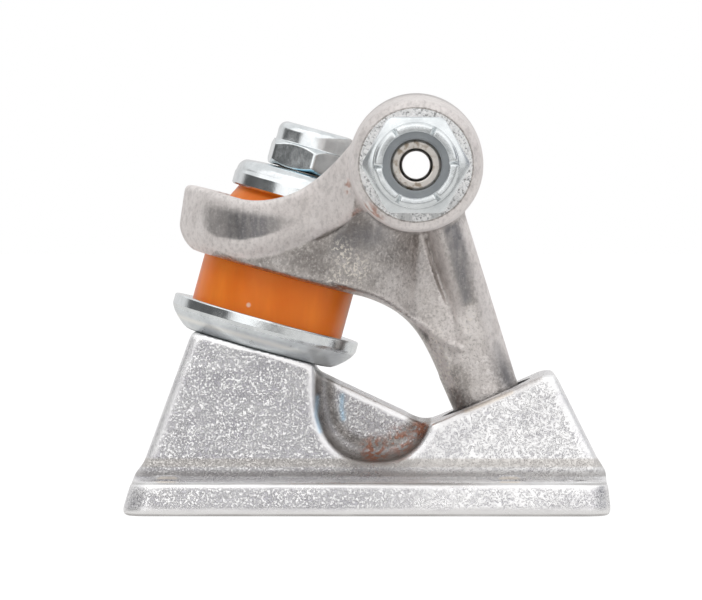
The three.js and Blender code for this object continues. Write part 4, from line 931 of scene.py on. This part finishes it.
def axle():
    """The hollow axle, threaded at both ends."""
    half, radius, bore, pitch = 101.5, 3.97, 2.4, 1.058
    outer = [(bore, half - 0.1), (bore + 0.08, half), (3.38, half), (3.46, half - 0.05)]
    outer.append((3.92, half - 0.6))
    outer += [(radius, z) for z in np.arange(half - 0.9, half - 23, -pitch / 8)]
    profile = outer + [(r, -z) for r, z in reversed(outer)]

    def moved(angle, r, z):
        if r < 3.9:
            return r, z
        return threaded(r, abs(z), angle if z > 0 else -angle, pitch, half - 22, half - 0.8, 0.55), z

    return lathe("axle_rod", profile, AXLE, 96, moved)


def kingpin():
    """A hexagon bolt, hollow like the axle."""
    flats, low, high, top = 14.3, 2.8, 8.0, KINGPIN_TOP
    half = flats / 2
    columns = []
    for angle in HEXAGON_ANGLES:
        corner = hexagon_radius(flats, angle)
        rise = max(corner - half + 0.12, 0) * tangent(30) + 0.15
        profile = [(2.4, low + 0.5), (2.9, low), (half - 0.3, low), (half - 0.12, low + 0.05)]
        profile += [(corner, low + rise), (corner, high - rise), (half - 0.12, high - 0.05)]
        profile += [(half - 0.3, high), (5.0, high), (4.76, high + 0.25), (4.76, top - 0.9)]
        profile += [(4.0, top - 0.06), (3.9, top), (2.8, top), (2.4, top - 0.4)]
        columns.append((angle, profile))
    return turned("kingpin_bolt", columns, KINGPIN)


def lower_cup():
    bottom = LOWER_CUP_BOTTOM
    floor, rim_top = bottom + 2, bottom + 5.05
    profile = [(CUP_HOLE, floor - 0.25), (CUP_HOLE, bottom + 0.25), (5.3, bottom)]
    bowl = (11.5, 0), (12.0, 0.1), (12.6, 0.42), (13.3, 0.98), (14.0, 1.62), (14.65, 2.36), (15.0, 2.95)
    profile += [(r, bottom + rise) for r, rise in (*bowl, (15.1, 3.2))]
    profile += [(15.2, bottom + 3.4), *arc(14.9, rim_top - 0.3, 0.3, 0, 90, 5)]
    profile += [(13.45, rim_top), (13.1, rim_top - 0.12), (12.75, rim_top - 0.5), (12.5, rim_top - 1.1)]
    profile += [(12.5, floor + 0.5), (12.0, floor), (5.3, floor)]
    return lathe("lower_cup", profile, KINGPIN)


def upper_cup():
    bottom, top = UPPER_CUP
    rim = bottom - 2.4
    profile = [(CUP_HOLE, bottom + 0.25), (5.3, bottom), (9.9, bottom), (10.2, bottom - 0.3)]
    profile += [(10.2, rim + 0.25), (10.45, rim), (10.95, rim), (11.2, rim + 0.25)]
    profile += [(11.2, bottom - 0.35), (11.05, bottom - 0.1)]
    profile += [(9.4 + 1.62 * x, bottom + 1.9 * z) for x, z in arc(0, 0, 1, 8, 84, 8)]
    profile += [(8.2, top - 0.08), (7.0, top), (5.3, top), (CUP_HOLE, top - 0.25)]
    return lathe("upper_cup", profile, KINGPIN)


def lower_bushing():
    low, high = LOWER_BUSHING
    profile = [(CUP_HOLE, low + 0.2), (5.3, low), *arc(11.65, low + 0.7, 0.7, -90, 0, 6)]
    profile += [(12.35, z) for z in np.linspace(low + 1.2, high - 1.2, 12)]
    profile += [*arc(11.65, high - 0.7, 0.7, 0, 90, 6), (9.0, high), (7.5, high), (7.2, high + 0.3)]
    profile += [(7.2, high + 1.4), (7.2, high + 2.3), (6.9, high + 2.6)]
    profile += [(5.3, high + 2.6), (CUP_HOLE, high + 2.3)]
    profile += [(CUP_HOLE, z) for z in np.linspace(high + 1.2, low + 1.2, 12)]
    return lathe("barrel_bushing", profile, KINGPIN, 128)


def upper_bushing():
    low, high = UPPER_BUSHING
    profile = [(CUP_HOLE, low - 2.3), (5.3, low - 2.6), (6.9, low - 2.6), (7.2, low - 2.3)]
    profile += [(7.2, low - 0.3), (7.5, low)]
    profile += [(9.5, low), *arc(11.3, low + 0.6, 0.6, -90, 0, 6), (11.9, low + 1.1)]
    profile += [(mix(11.9, 10.0, t), low + mix(1.1, 4.9, t)) for t in np.linspace(0.1, 1, 10)]
    profile += [(10.0, high - 0.9), *arc(9.3, high - 0.7, 0.7, 0, 90, 6)]
    profile += [(5.3, high), (CUP_HOLE, high - 0.2)]
    profile += [(CUP_HOLE, z) for z in np.linspace(high - 1.2, low - 1.2, 10)]
    return lathe("cone_bushing", profile, KINGPIN, 128)


def pivot_cup():
    seat = arc(0, 0, 5.5, 0, -87, 14)
    profile = [(0.05, -6.8), *arc(6.4, -5.6, 1.2, -90, 0, 6), (7.6, 5.6), (7.3, 6.0), (7.0, 6.0)]
    profile += [(6.7, 5.6), *seat]
    return lathe("pivot_seat", profile, PIVOT, 96)


def washer(name, inner, outer, thickness, matrix):
    e = 0.12
    profile = [(inner, e), (inner + e, 0), (outer - e, 0), (outer, e), (outer, thickness - e)]
    profile += [(outer - e, thickness), (inner + e, thickness), (inner, thickness - e)]
    return lathe(name, profile, matrix, 128)


def insert(name, matrix, top, height, radius, bore):
    profile = [(bore, top - height), (radius, top - height), (radius, top - 0.2), (radius - 0.2, top)]
    profile += [(bore + 0.25, top), (bore, top - 0.25)]
    return lathe(name, profile, matrix, 128)


# Materials
WHITE = (1.0, 1.0, 1.0)


class Nodes:
    """A node tree, built with short calls."""

    def __init__(self, tree, coordinates):
        self.tree = tree
        self.place = self.add("TexCoord").outputs[coordinates]

    def add(self, kind, links=(), **settings):
        """A node with its settings, and with links of {input: source}."""
        node = self.tree.nodes.new("ShaderNode" + kind)
        for key, value in settings.items():
            name = key.replace("_", " ")
            if name in node.inputs:
                node.inputs[name].default_value = value
            else:
                setattr(node, key, value)
        for socket, source in dict(links).items():
            self.tree.links.new(source, node.inputs[socket])
        return node

    def feed(self, socket, value):
        """Links a socket to another one, or gives it a number, a vector or a colour."""
        if isinstance(value, bpy.types.NodeSocket):
            self.tree.links.new(value, socket)
        else:
            socket.default_value = (*value, 1) if socket.type == "RGBA" else value

    def math(self, operation, *values):
        node = self.add("Math", operation=operation)
        for socket, value in zip(node.inputs, values):
            self.feed(socket, value)
        return node.outputs[0]

    def times(self, product, *factors):
        for factor in factors:
            product = self.math("MULTIPLY", product, factor)
        return product

    def less(self, value):
        """What a value leaves of 1."""
        return self.math("SUBTRACT", 1.0, value)

    def spread(self, value, low, high, to_low=0.0, to_high=1.0):
        """From to_low to to_high, smoothly, while the value goes from low to high."""
        limits = dict(From_Min=low, From_Max=high, To_Min=to_low, To_Max=to_high)
        node = self.add("MapRange", {"Value": value}, interpolation_type="SMOOTHSTEP", **limits)
        return node.outputs["Result"]

    def within(self, value, low, high, soft):
        """1 between two limits, with soft edges."""
        rise = self.spread(value, low - soft, low + soft)
        return self.times(rise, self.spread(value, high + soft, high - soft))

    def blend(self, amount, a, b):
        node = self.add("Mix", data_type="RGBA")
        for index, value in ((0, amount), (6, a), (7, b)):
            self.feed(node.inputs[index], value)
        return node.outputs[2]

    def layered(self, colour, *layers):
        """A colour under layers of (amount, colour), the last one on top."""
        for amount, layer in layers:
            colour = self.blend(amount, colour, layer)
        return colour


class Shader(Nodes):
    """The nodes of a material, which take their place from the object, in metres."""

    def __init__(self, name, **surface):
        self.material = bpy.data.materials.new(name)
        self.material.use_nodes = True
        super().__init__(self.material.node_tree, "Object")
        self.surface = self.tree.nodes["Principled BSDF"]
        self.set(**surface)

    def set(self, **sockets):
        for key, value in sockets.items():
            self.feed(self.surface.inputs[key.replace("_", " ")], value)
        return self.material

    def vector(self, operation, value, source=None):
        """The outputs of one vector operation on the place or on another vector."""
        node = self.add("VectorMath", {0: source or self.place}, operation=operation)
        node.inputs[1].default_value = value
        return node.outputs

    def noise(self, scale, detail=2.0, roughness=0.5, distortion=0.0, place=None):
        kinds = dict(Scale=scale, Detail=detail, Roughness=roughness, Distortion=distortion)
        return self.add("TexNoise", {"Vector": place or self.place}, **kinds).outputs["Fac"]

    def streaks(self, scale, squeeze):
        """Noise drawn out along the axes whose squeeze is small."""
        return self.noise(scale, 3, 0.6, place=self.vector("MULTIPLY", squeeze)["Vector"])

    def near(self, point, radius):
        """1 at a point in millimetres, 0 beyond a radius round it."""
        distance = self.vector("DISTANCE", Vector(point) * METRES)["Value"]
        return self.spread(distance, radius * METRES, radius * METRES * 0.4)

    def near_axle(self, radius):
        """1 inside a radius round the axle's line."""
        flat = self.vector("MULTIPLY", (1, 0, 1))["Vector"]
        distance = self.vector("DISTANCE", Vector((AXLE_X, 0, AXLE_HEIGHT)) * METRES, flat)["Value"]
        return self.math("LESS_THAN", distance, radius * METRES)

    def height_on_kingpin(self):
        """How far along the kingpin's axis a point is, in metres."""
        moved = self.vector("SUBTRACT", (KINGPIN_FOOT_X * METRES, 0, 0))["Vector"]
        return self.vector("DOT_PRODUCT", UP_KINGPIN, moved)["Value"]

    def band(self, value, low, high, soft):
        """1 between two limits in millimetres, with soft edges."""
        return self.within(value, low * METRES, high * METRES, soft * METRES)

    def outside(self, distance):
        """1 further than that from the middle plane."""
        return self.math("GREATER_THAN", self.math("ABSOLUTE", self.axis("Y")), distance * METRES)

    def axis(self, name):
        return self.add("SeparateXYZ", {"Vector": self.place}).outputs[name]

    def attribute(self, name):
        return self.add("Attribute", attribute_name=name).outputs["Fac"]

    def ramp(self, value, *stops):
        """Colours from (position, colour) stops."""
        node = self.add("ValToRGB", {"Fac": value})
        elements = node.color_ramp.elements
        while len(elements) < len(stops):
            elements.new(0.5)
        for element, (at, colour) in zip(elements, stops):
            element.position = at
            element.color = (*colour, 1)
        return node.outputs["Color"]

    def stained(self, colour, patches, amount, stain, places):
        """A colour with broken patches of a stain at places of (point, radius)."""
        for point, radius in places:
            colour = self.blend(self.times(self.near(point, radius), patches, amount), colour, stain)
        return colour

    def bump(self, height, distance, strength=1.0, normal=None):
        links = {"Height": height, "Normal": normal} if normal else {"Height": height}
        return self.add("Bump", links, Distance=distance * METRES, Strength=strength).outputs["Normal"]


def cast_aluminium():
    """Rough and a little pink as cast, dull on the arms, bright where the ends were turned, with painted
    light and shade.
    """
    s = Shader("cast_aluminium")
    relief, painted_shading, matte_and_lightened = s.attribute("relief"), s.attribute("painted_shading"), s.attribute("matte_and_lightened")
    broad, fine = s.noise(150, 5, 0.62), s.noise(2300, 4, 0.65)
    grey = s.ramp(
        broad, (0.38, (0.36, 0.335, 0.32)), (0.5, (0.47, 0.44, 0.42)), (0.62, (0.57, 0.54, 0.525))
    )
    pale = s.ramp(broad, (0.35, (0.74, 0.695, 0.675)), (0.65, (0.88, 0.835, 0.815)))
    torn = s.spread(s.streaks(1300, (1, 0.3, 0.2)), 0.35, 0.6, 0.6, 0.95)
    colour = s.layered(
        grey,
        # Pale matte finish on arms and barrel; painted light on the column's flank and the web's groove.
        (matte_and_lightened, pale),
        # Painted highlights.
        (s.spread(painted_shading, 0, 1, 0, 0.85), (0.92, 0.87, 0.84)),
        # Painted shade and dark reflections, broken up by torn grain.
        (s.times(s.spread(painted_shading, 0, -1), torn), (0.225, 0.225, 0.24)),
        # Painted highlight on the rounded edges.
        (s.spread(relief, 0.1, 0.8, 0, 0.35), (0.84, 0.79, 0.77)),
        # Painted shade in creases and hollows.
        (s.spread(relief, -0.1, -0.9, 0, 0.4), (0.34, 0.315, 0.30)),
    )
    rust = ((-2.5, -66, 51), 2.2), ((1.5, -68, 48.2), 2.6), ((-3.5, -24, 51.5), 1.8)
    colour = s.stained(colour, s.spread(s.noise(900, 3), 0.44, 0.58), 0.7, (0.42, 0.15, 0.07), rust)
    mottle, calm = s.streaks(1500, (1, 0.4, 0.6)), s.spread(painted_shading, -0.6, -0.2, 0.35, 1.0)
    speckled = s.times(s.spread(matte_and_lightened, 0, 1, 0.5, 0.16), calm)
    # Painted sparkle: cream glints, speckled by fine noise, where the sparkle mark is.
    sparkle = s.times(s.attribute("sparkle"), s.spread(s.noise(2100, 3, 0.6, 0.4), 0.5, 0.62))
    ends = s.times(s.outside(HANGER_WIDTH / 2 - 0.1), s.near_axle(BARREL_FACE_RADIUS + 0.02))
    scuffs = s.noise(2300, 4, 0.7, 0.3)
    chips = s.ramp(scuffs, (0.39, (0.36, 0.36, 0.36)), (0.46, (0.84, 0.85, 0.86)), (0.53, WHITE))
    # The turned ends go grey in patches towards their bottom.
    darker_below = s.spread(s.noise(520, 4, 0.7), 0.44, 0.56, 0, 0.6)
    darker_below = s.times(s.spread(s.axis("Z"), 0.0520, 0.0470), darker_below)
    colour = s.layered(
        colour,
        (s.times(s.spread(mottle, 0.5, 0.36, 0.0, 0.22), calm), (0.32, 0.30, 0.29)),
        (s.times(s.spread(mottle, 0.5, 0.64, 0.0, 0.22), calm), (1.0, 0.97, 0.95)),
        (s.times(s.spread(fine, 0.52, 0.66), speckled), (0.90, 0.86, 0.83)),
        (s.times(s.spread(fine, 0.48, 0.34), speckled), (0.25, 0.23, 0.215)),
        (s.times(sparkle, 0.85), (1.0, 0.95, 0.87)),
        (ends, s.blend(darker_below, chips, (0.46, 0.47, 0.47))),
    )
    polished = s.spread(s.noise(180, 2), 0.56, 0.66, 0.36, 0.28)
    rough = s.math("ADD", polished, s.times(matte_and_lightened, 0.24))
    dull = s.math("MAXIMUM", s.times(matte_and_lightened, 0.5), s.times(ends, 0.6))
    # Where highlights are painted the metal is dulled, so their pale colour shows.
    dull = s.math("MAXIMUM", dull, s.spread(painted_shading, 0.25, 1.0, 0.0, 0.65))
    normal = s.bump(fine, 0.08, 0.8)
    normal = s.bump(s.noise(520, 3, 0.55), 0.14, 0.7, normal)
    normal = s.bump(s.times(scuffs, ends), 0.25, 1.0, normal)
    return s.set(Base_Color=colour, Roughness=rough, Metallic=s.less(dull), Normal=normal)


def blasted_aluminium():
    """Shot-blasted sides, fine at the rear and wormy at the front, with smooth edges given a painted
    highlight and painted shade in the hollows.
    """
    s = Shader("forged_aluminium")
    relief, painted_shading, height = s.attribute("relief"), s.attribute("painted_shading"), s.axis("Z")
    broad, clouds = s.noise(130, 4, 0.6), s.streaks(420, (0.45, 1, 1))
    front = s.spread(s.axis("X"), -0.002, 0.018)
    flat = s.spread(s.math("ABSOLUTE", relief), 0.08, 0.5, 1.0, 0.1)
    dots = s.spread(s.noise(2700, 4, 0.8), 0.44, 0.55)
    wide, thin = (
        s.math("ABSOLUTE", s.math("SUBTRACT", s.noise(scale, 2, 0.5, 1.0), 0.5)) for scale in (1000, 2000)
    )
    worms = s.math("MAXIMUM", s.spread(wide, 0.10, 0.02), s.spread(thin, 0.10, 0.02, 0.0, 0.8))
    grain = s.math("ADD", s.times(dots, s.less(front)), s.times(worms, front))
    patch = s.spread(s.noise(450, 3, 0.6), 0.38, 0.6, 0.65, 1.0)
    # A beige painted reflection band 7.2 to 9 mm up where painted shade is, which is mostly on the foot's
    # fillet.
    smooth = s.times(s.band(height, 7.2, 9.0, 0.25), s.spread(painted_shading, 0, -0.2))
    # Streaked dark colour of the painted shade in the scoops and round the foot.
    dull = s.ramp(
        s.streaks(900, (0.08, 0.3, 1)), (0.35, (0.19, 0.17, 0.155)), (0.65, (0.34, 0.315, 0.295))
    )
    colour = s.layered(
        s.ramp(broad, (0.38, (0.76, 0.75, 0.775)), (0.62, (0.92, 0.91, 0.925))),
        (s.times(front, 0.8), WHITE),
        (s.times(s.spread(height, 0.0056, 0.0052), 0.7), (0.97, 0.96, 0.97)),
        (s.spread(clouds, 0.5, 0.36, 0, 0.4), (0.50, 0.485, 0.53)),
        (s.spread(clouds, 0.5, 0.62, 0, 0.7), WHITE),
        (s.times(s.less(grain), flat, s.spread(front, 0, 1, 0.52, 0.44)), (0.31, 0.305, 0.35)),
        (s.times(grain, flat, patch), WHITE),
        # Painted highlight on the rounded edges.
        (s.spread(relief, 0.15, 0.7, 0, 0.9), WHITE),
        (s.times(smooth, 0.7), (0.72, 0.69, 0.65)),
        (s.spread(painted_shading, 0, -1, 0, 0.95), dull),
        # Painted cream highlights: the edge under the nose and the bolt holes' rims.
        (s.spread(painted_shading, 0, 1, 0, 0.85), (1.0, 0.93, 0.84)),
        # Painted shade in creases and hollows.
        (s.spread(relief, -0.15, -0.8, 0, 0.5), (0.30, 0.275, 0.26)),
        (s.times(s.attribute("glint"), 0.95), (0.60, 0.82, 1.0)),
    )
    # Broken dark lines of painted shade just under the flange's top edge and along its foot on the floor.
    for low, high, amount in ((4.9, 5.25, 0.5), (-0.5, 0.4, 0.55)):
        broken = s.spread(s.streaks(500, (0.2, 1, 1)), 0.35, 0.6, 0.5 * amount, amount)
        line = s.times(s.band(height, low, high, 0.12), s.outside(20), broken)
        colour = s.blend(line, colour, (0.24, 0.225, 0.215))
    rust = ((1.2, -10.5, 10.3), 3.4), ((5.0, -10.5, 11.7), 3.4), ((8.0, -10.5, 13.4), 2.6)
    colour = s.stained(colour, s.spread(s.noise(1300, 3), 0.42, 0.54), 0.8, (0.42, 0.14, 0.06), rust)
    normal = s.bump(s.times(grain, flat), 0.06, 1.0)
    rough = s.spread(broad, 0.3, 0.7, 0.25, 0.34)
    return s.set(Base_Color=colour, Roughness=rough, Metallic=0.88, Normal=normal)


def zinc_plate(name, roughness, metallic):
    """Zinc with a blue gleam under the kingpin's nut, a sheen along the lower cup and a painted contact
    shadow at its foot.
    """
    s = Shader(name)
    cloud, height, x = s.noise(320, 4, 0.65), s.height_on_kingpin(), s.axis("X")
    gleam = s.times(
        s.spread(height, 0.0562, 0.0558),
        s.spread(height, 0.0552, 0.0556),
        s.spread(x, 0.0, -0.002, 0.0, 0.7),
        s.spread(s.axis("Y"), -0.0055, -0.0075),
    )
    ends = s.spread(x, -0.036, -0.030), s.spread(x, -0.008, -0.014)
    sheen = s.times(s.band(height, 27.9, 28.5, 0.3), *ends)
    colour = s.layered(
        s.ramp(cloud, (0.32, (0.70, 0.735, 0.75)), (0.68, (0.90, 0.935, 0.945))),
        (gleam, (0.42, 0.78, 0.95)),
        (s.times(sheen, 0.8), (1.0, 0.99, 0.94)),
        # A painted contact shadow round the lower cup's foot.
        (s.times(s.band(height, 26.0, 26.85, 0.12), 0.8), (0.10, 0.12, 0.13)),
    )
    bowl = s.spread(height, 0.0299, 0.0293)
    rough = s.math("ADD", s.spread(cloud, 0.3, 0.7, roughness, roughness + 0.1), s.times(bowl, 0.14))
    metal = s.spread(bowl, 0, 1, metallic, 0.5)
    normal = s.bump(s.noise(900, 3, 0.6), 0.022, 0.8)
    return s.set(Base_Color=colour, Roughness=rough, Metallic=metal, Normal=normal)


def clouded(name, noise, stops, rough, grain, **surface):
    """A plain material, a little uneven in colour, roughness and height."""
    s = Shader(name, **surface)
    cloud = s.noise(*noise)
    size, *heights = grain
    return s.set(
        Base_Color=s.ramp(cloud, *stops),
        Roughness=s.spread(cloud, 0.3, 0.7, *rough),
        Normal=s.bump(s.noise(size), *heights),
    )


def urethane():
    s = Shader(
        "urethane",
        Subsurface_Weight=0.3,
        Subsurface_Scale=0.0025,
        Subsurface_Radius=(1.0, 0.25, 0.03),
        IOR=1.4,
    )
    cloud = s.noise(90, 3, 0.5)
    colour = s.ramp(cloud, (0.3, (0.93, 0.205, 0.009)), (0.7, (1.0, 0.28, 0.022)))
    bands = s.spread(s.streaks(260, (1, 1, 0.15)), 0.35, 0.65, 0.0, 0.25)
    colour = s.blend(bands, colour, (0.62, 0.10, 0.004))
    # A small painted highlight on the lower bushing's front.
    colour = s.blend(s.math("MULTIPLY", s.near((-18.8, -11.9, 32.8), 0.5), 0.6), colour, (1.0, 0.85, 0.7))
    normal = s.bump(s.noise(260, 2, 0.5), 0.04, 0.4)
    return s.set(Base_Color=colour, Roughness=s.spread(cloud, 0.3, 0.7, 0.30, 0.38), Normal=normal)


STEEL_TONES = (0.35, (0.42, 0.35, 0.27)), (0.5, (0.80, 0.76, 0.71))
NYLON_TONES = (0.3, (0.235, 0.255, 0.27)), (0.7, (0.29, 0.31, 0.325))
DARK_TONES = (0.3, (0.016, 0.017, 0.019)), (0.7, (0.028, 0.029, 0.032))

# Camera, floor and light

CAMERA_AT = Vector((7.75, -1066, 55))
CAMERA_AIM = Vector((-2.67, 0, 33.35))
PIXELS_PER_RADIAN, PHOTO_WIDTH, SENSOR = 6649, 702, 36.0


def make_camera():
    data = bpy.data.cameras.new("camera")
    data.sensor_width = SENSOR
    data.lens = PIXELS_PER_RADIAN / PHOTO_WIDTH * SENSOR
    data.clip_start, data.clip_end = 0.05, 20
    camera = linked("camera", data)
    camera.location = CAMERA_AT * METRES
    camera.rotation_euler = (CAMERA_AIM - CAMERA_AT).to_track_quat("-Z", "Y").to_euler()
    bpy.context.scene.camera = camera


class Studio(Nodes):
    """The nodes of the floor or the world, which look white to the camera and like a studio to metal."""

    def __init__(self, tree, coordinates):
        tree.nodes.clear()
        super().__init__(tree, coordinates)
        self.x, self.y, self.z = self.add("SeparateXYZ", {0: self.place}).outputs
        rays = self.add("LightPath").outputs
        self.glossy = rays["Is Glossy Ray"]
        self.direct = self.math("MAXIMUM", rays["Is Camera Ray"], rays["Is Transmission Ray"])


def make_floor():
    half = 3000
    verts = [(-half, -half, 0), (half, -half, 0), (half, half, 0), (-half, half, 0)]
    floor = make_object("floor", verts, [(0, 1, 2, 3)], Matrix.Translation((0, 0, -0.02)))
    material = bpy.data.materials.new("floor")
    material.use_nodes = True
    s = Studio(material.node_tree, "Object")
    table = s.blend(s.spread(s.y, -0.17, -0.28), (0.74, 0.725, 0.71), (0.15, 0.145, 0.14))
    lit, glow = s.add("BsdfDiffuse", Color=(0.8, 0.8, 0.8, 1)), s.add("Emission")
    s.feed(glow.inputs["Color"], s.blend(s.direct, table, (1.12, 1.12, 1.12)))
    share = s.math("ADD", s.times(s.direct, 0.9), s.times(s.glossy, 0.85))
    both = s.add("MixShader", {0: share, 1: lit.outputs[0], 2: glow.outputs[0]})
    s.add("OutputMaterial", {"Surface": both.outputs[0]})
    floor.data.materials.append(material)


def make_world():
    """A light tent, open on a dark room at either side."""
    world = bpy.data.worlds.new("studio")
    bpy.context.scene.world = world
    world.use_nodes = True
    s = Studio(world.node_tree, "Generated")
    low, middle = s.spread(s.z, 0.50, 0.38), s.spread(s.z, 0.9, 0.75)
    in_front, beside = s.spread(s.y, 0.05, -0.15), s.within(s.y, -0.75, 0.42, 0.10)
    lamps = [
        s.times(in_front, s.within(s.x, *across, 0.04), s.within(s.z, *up, 0.04))
        for across, up in (((-0.52, -0.10), (-0.04, 0.07)), ((-0.50, 0.30), (0.74, 0.92)))
    ]
    room = s.layered(
        (0.86, 0.86, 0.865),
        (s.times(in_front, middle), (1.24, 1.23, 1.23)),
        (s.times(s.less(in_front), low), (0.76, 0.75, 0.75)),
        (s.times(in_front, s.spread(s.z, 0.10, 0.04)), (0.82, 0.81, 0.805)),
        (lamps[0], (1.5, 1.5, 1.5)),
        (lamps[1], (1.4, 1.4, 1.4)),
        (s.times(s.spread(s.x, -0.50, -0.74), beside, low), (0.12, 0.12, 0.12)),
        (s.times(s.spread(s.x, 0.70, 0.92), beside, low), (0.20, 0.21, 0.24)),
    )
    background = s.add("Background")
    s.feed(background.inputs["Color"], s.blend(s.direct, s.blend(s.glossy, (0.6, 0.6, 0.6), room), WHITE))
    s.add("OutputWorld", {"Surface": background.outputs[0]})


def make_softbox(name, at, width, height, power):
    data = bpy.data.lights.new(name, "AREA")
    data.shape = "RECTANGLE"
    data.size, data.size_y = width * METRES, height * METRES
    data.energy = power
    light = linked(name, data)
    light.location = Vector(at) * METRES
    light.visible_glossy = False
    light.rotation_euler = (Vector((0, 0, 35)) - Vector(at)).to_track_quat("-Z", "Y").to_euler()


make_camera()
make_floor()
make_world()
make_softbox("key", (-250, -350, 750), width=500, height=400, power=2.0)
make_softbox("fill", (650, -250, 350), width=250, height=500, power=1.2)
make_softbox("back", (100, 550, 600), width=600, height=300, power=1.0)
bpy.context.scene.view_settings.view_transform = "Standard"

# The truck

CAST, FORGED = cast_aluminium(), blasted_aluminium()
ZINC, SATIN_ZINC = zinc_plate("zinc_plate", 0.13, 1.0), zinc_plate("zinc_plate_satin", 0.18, 0.75)
STEEL = clouded("steel", (900, 4, 0.6), STEEL_TONES, (0.42, 0.28), (1800, 0.03, 0.6), Metallic=0.75)
URETHANE = urethane()
NYLON = clouded("nylon", (500, 3), NYLON_TONES, (0.40, 0.5), (2500, 0.02, 0.4))
DARK = clouded("pivot_urethane", (300, 3), DARK_TONES, (0.5, 0.62), (1500, 0.03, 0.4))

finished(baseplate(), FORGED, "forged_aluminium", "base", "baseplate", sharp=30)
finished(hanger(), CAST, "cast_aluminium", "hanger", "hanger", sharp=30)
finished(pivot_cup(), DARK, "pivot_urethane", "base", "pivot_cup")
finished(kingpin(), STEEL, "steel", "base", "kingpin")
finished(lower_cup(), ZINC, "zinc_plate", "base", "lower_cup_washer")
finished(upper_cup(), ZINC, "zinc_plate", "base", "upper_cup_washer")
finished(axle(), STEEL, "steel", "hanger", "axle", sharp=60)

NUT_TURN = Matrix.Rotation(math.radians(35.8), 4, "Z")
# Distances from the middle of the axle.
AXLE_NUT_AT, AXLE_INSERT_TOP = 95.475, 103.125
WASHERS_AT = ("inner", 70.15), ("outer", 94.175)
kingpin_nut = lock_nut(
    "kingpin_lock_nut",
    KINGPIN @ Matrix.Translation((0, 0, KINGPIN_NUT_BOTTOM)) @ NUT_TURN,
    **dict(flats=13, hex_height=4, collar_height=3.2, collar_radius=6.25, bore=SHANK_HOLE),
    **dict(insert_radius=4.9, crimps=0, roll=1.35, chamfer=36, rounding=0.85),
)
finished(kingpin_nut, ZINC, "zinc_plate", "base", "kingpin_nut")
kingpin_insert = insert(
    "kingpin_nylon", KINGPIN, top=KINGPIN_TOP - 0.5, height=2.2, radius=4.95, bore=4.7
)
finished(kingpin_insert, NYLON, "nylon", "base", "kingpin_nut_insert")

for side, name in ((-1, "left"), (1, "right")):
    outward = AXLE @ Matrix.Rotation(math.pi if side < 0 else 0, 4, "X")
    nut = lock_nut(
        f"axle_lock_nut_{name}",
        outward @ Matrix.Translation((0, 0, AXLE_NUT_AT)),
        **dict(flats=14, hex_height=5.6, collar_height=2.4, collar_radius=6.15, bore=AXLE_HOLE),
        **dict(insert_radius=5.0, crimps=6, roll=0.58, chamfer=25, rounding=1.5),
    )
    finished(nut, SATIN_ZINC, "zinc_plate", "hanger", f"axle_nut_{name}")
    ring = insert(
        f"axle_nylon_{name}", outward, top=AXLE_INSERT_TOP, height=2, radius=5.05, bore=3.72
    )
    finished(ring, NYLON, "nylon", "hanger", f"axle_nut_insert_{name}")
    for place, distance in WASHERS_AT:
        node = f"{place}_speed_washer_{name}"
        at = outward @ Matrix.Translation((0, 0, distance))
        thin = washer(f"{place}_thin_washer_{name}", inner=4.27, outer=6.35, thickness=1, matrix=at)
        finished(thin, ZINC, "zinc_plate", node, node)

for piece, node, (low, high), bodies in (
    (lower_bushing(), "lower_bushing", LOWER_BUSHING, ("base", "hanger")),
    (upper_bushing(), "upper_bushing", UPPER_BUSHING, ("hanger", "base")),
):
    dressed(piece, URETHANE, 40)
    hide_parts(node)
    start, end = on_kingpin(0, low), on_kingpin(0, high)
    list(bodies)
    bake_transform(piece)
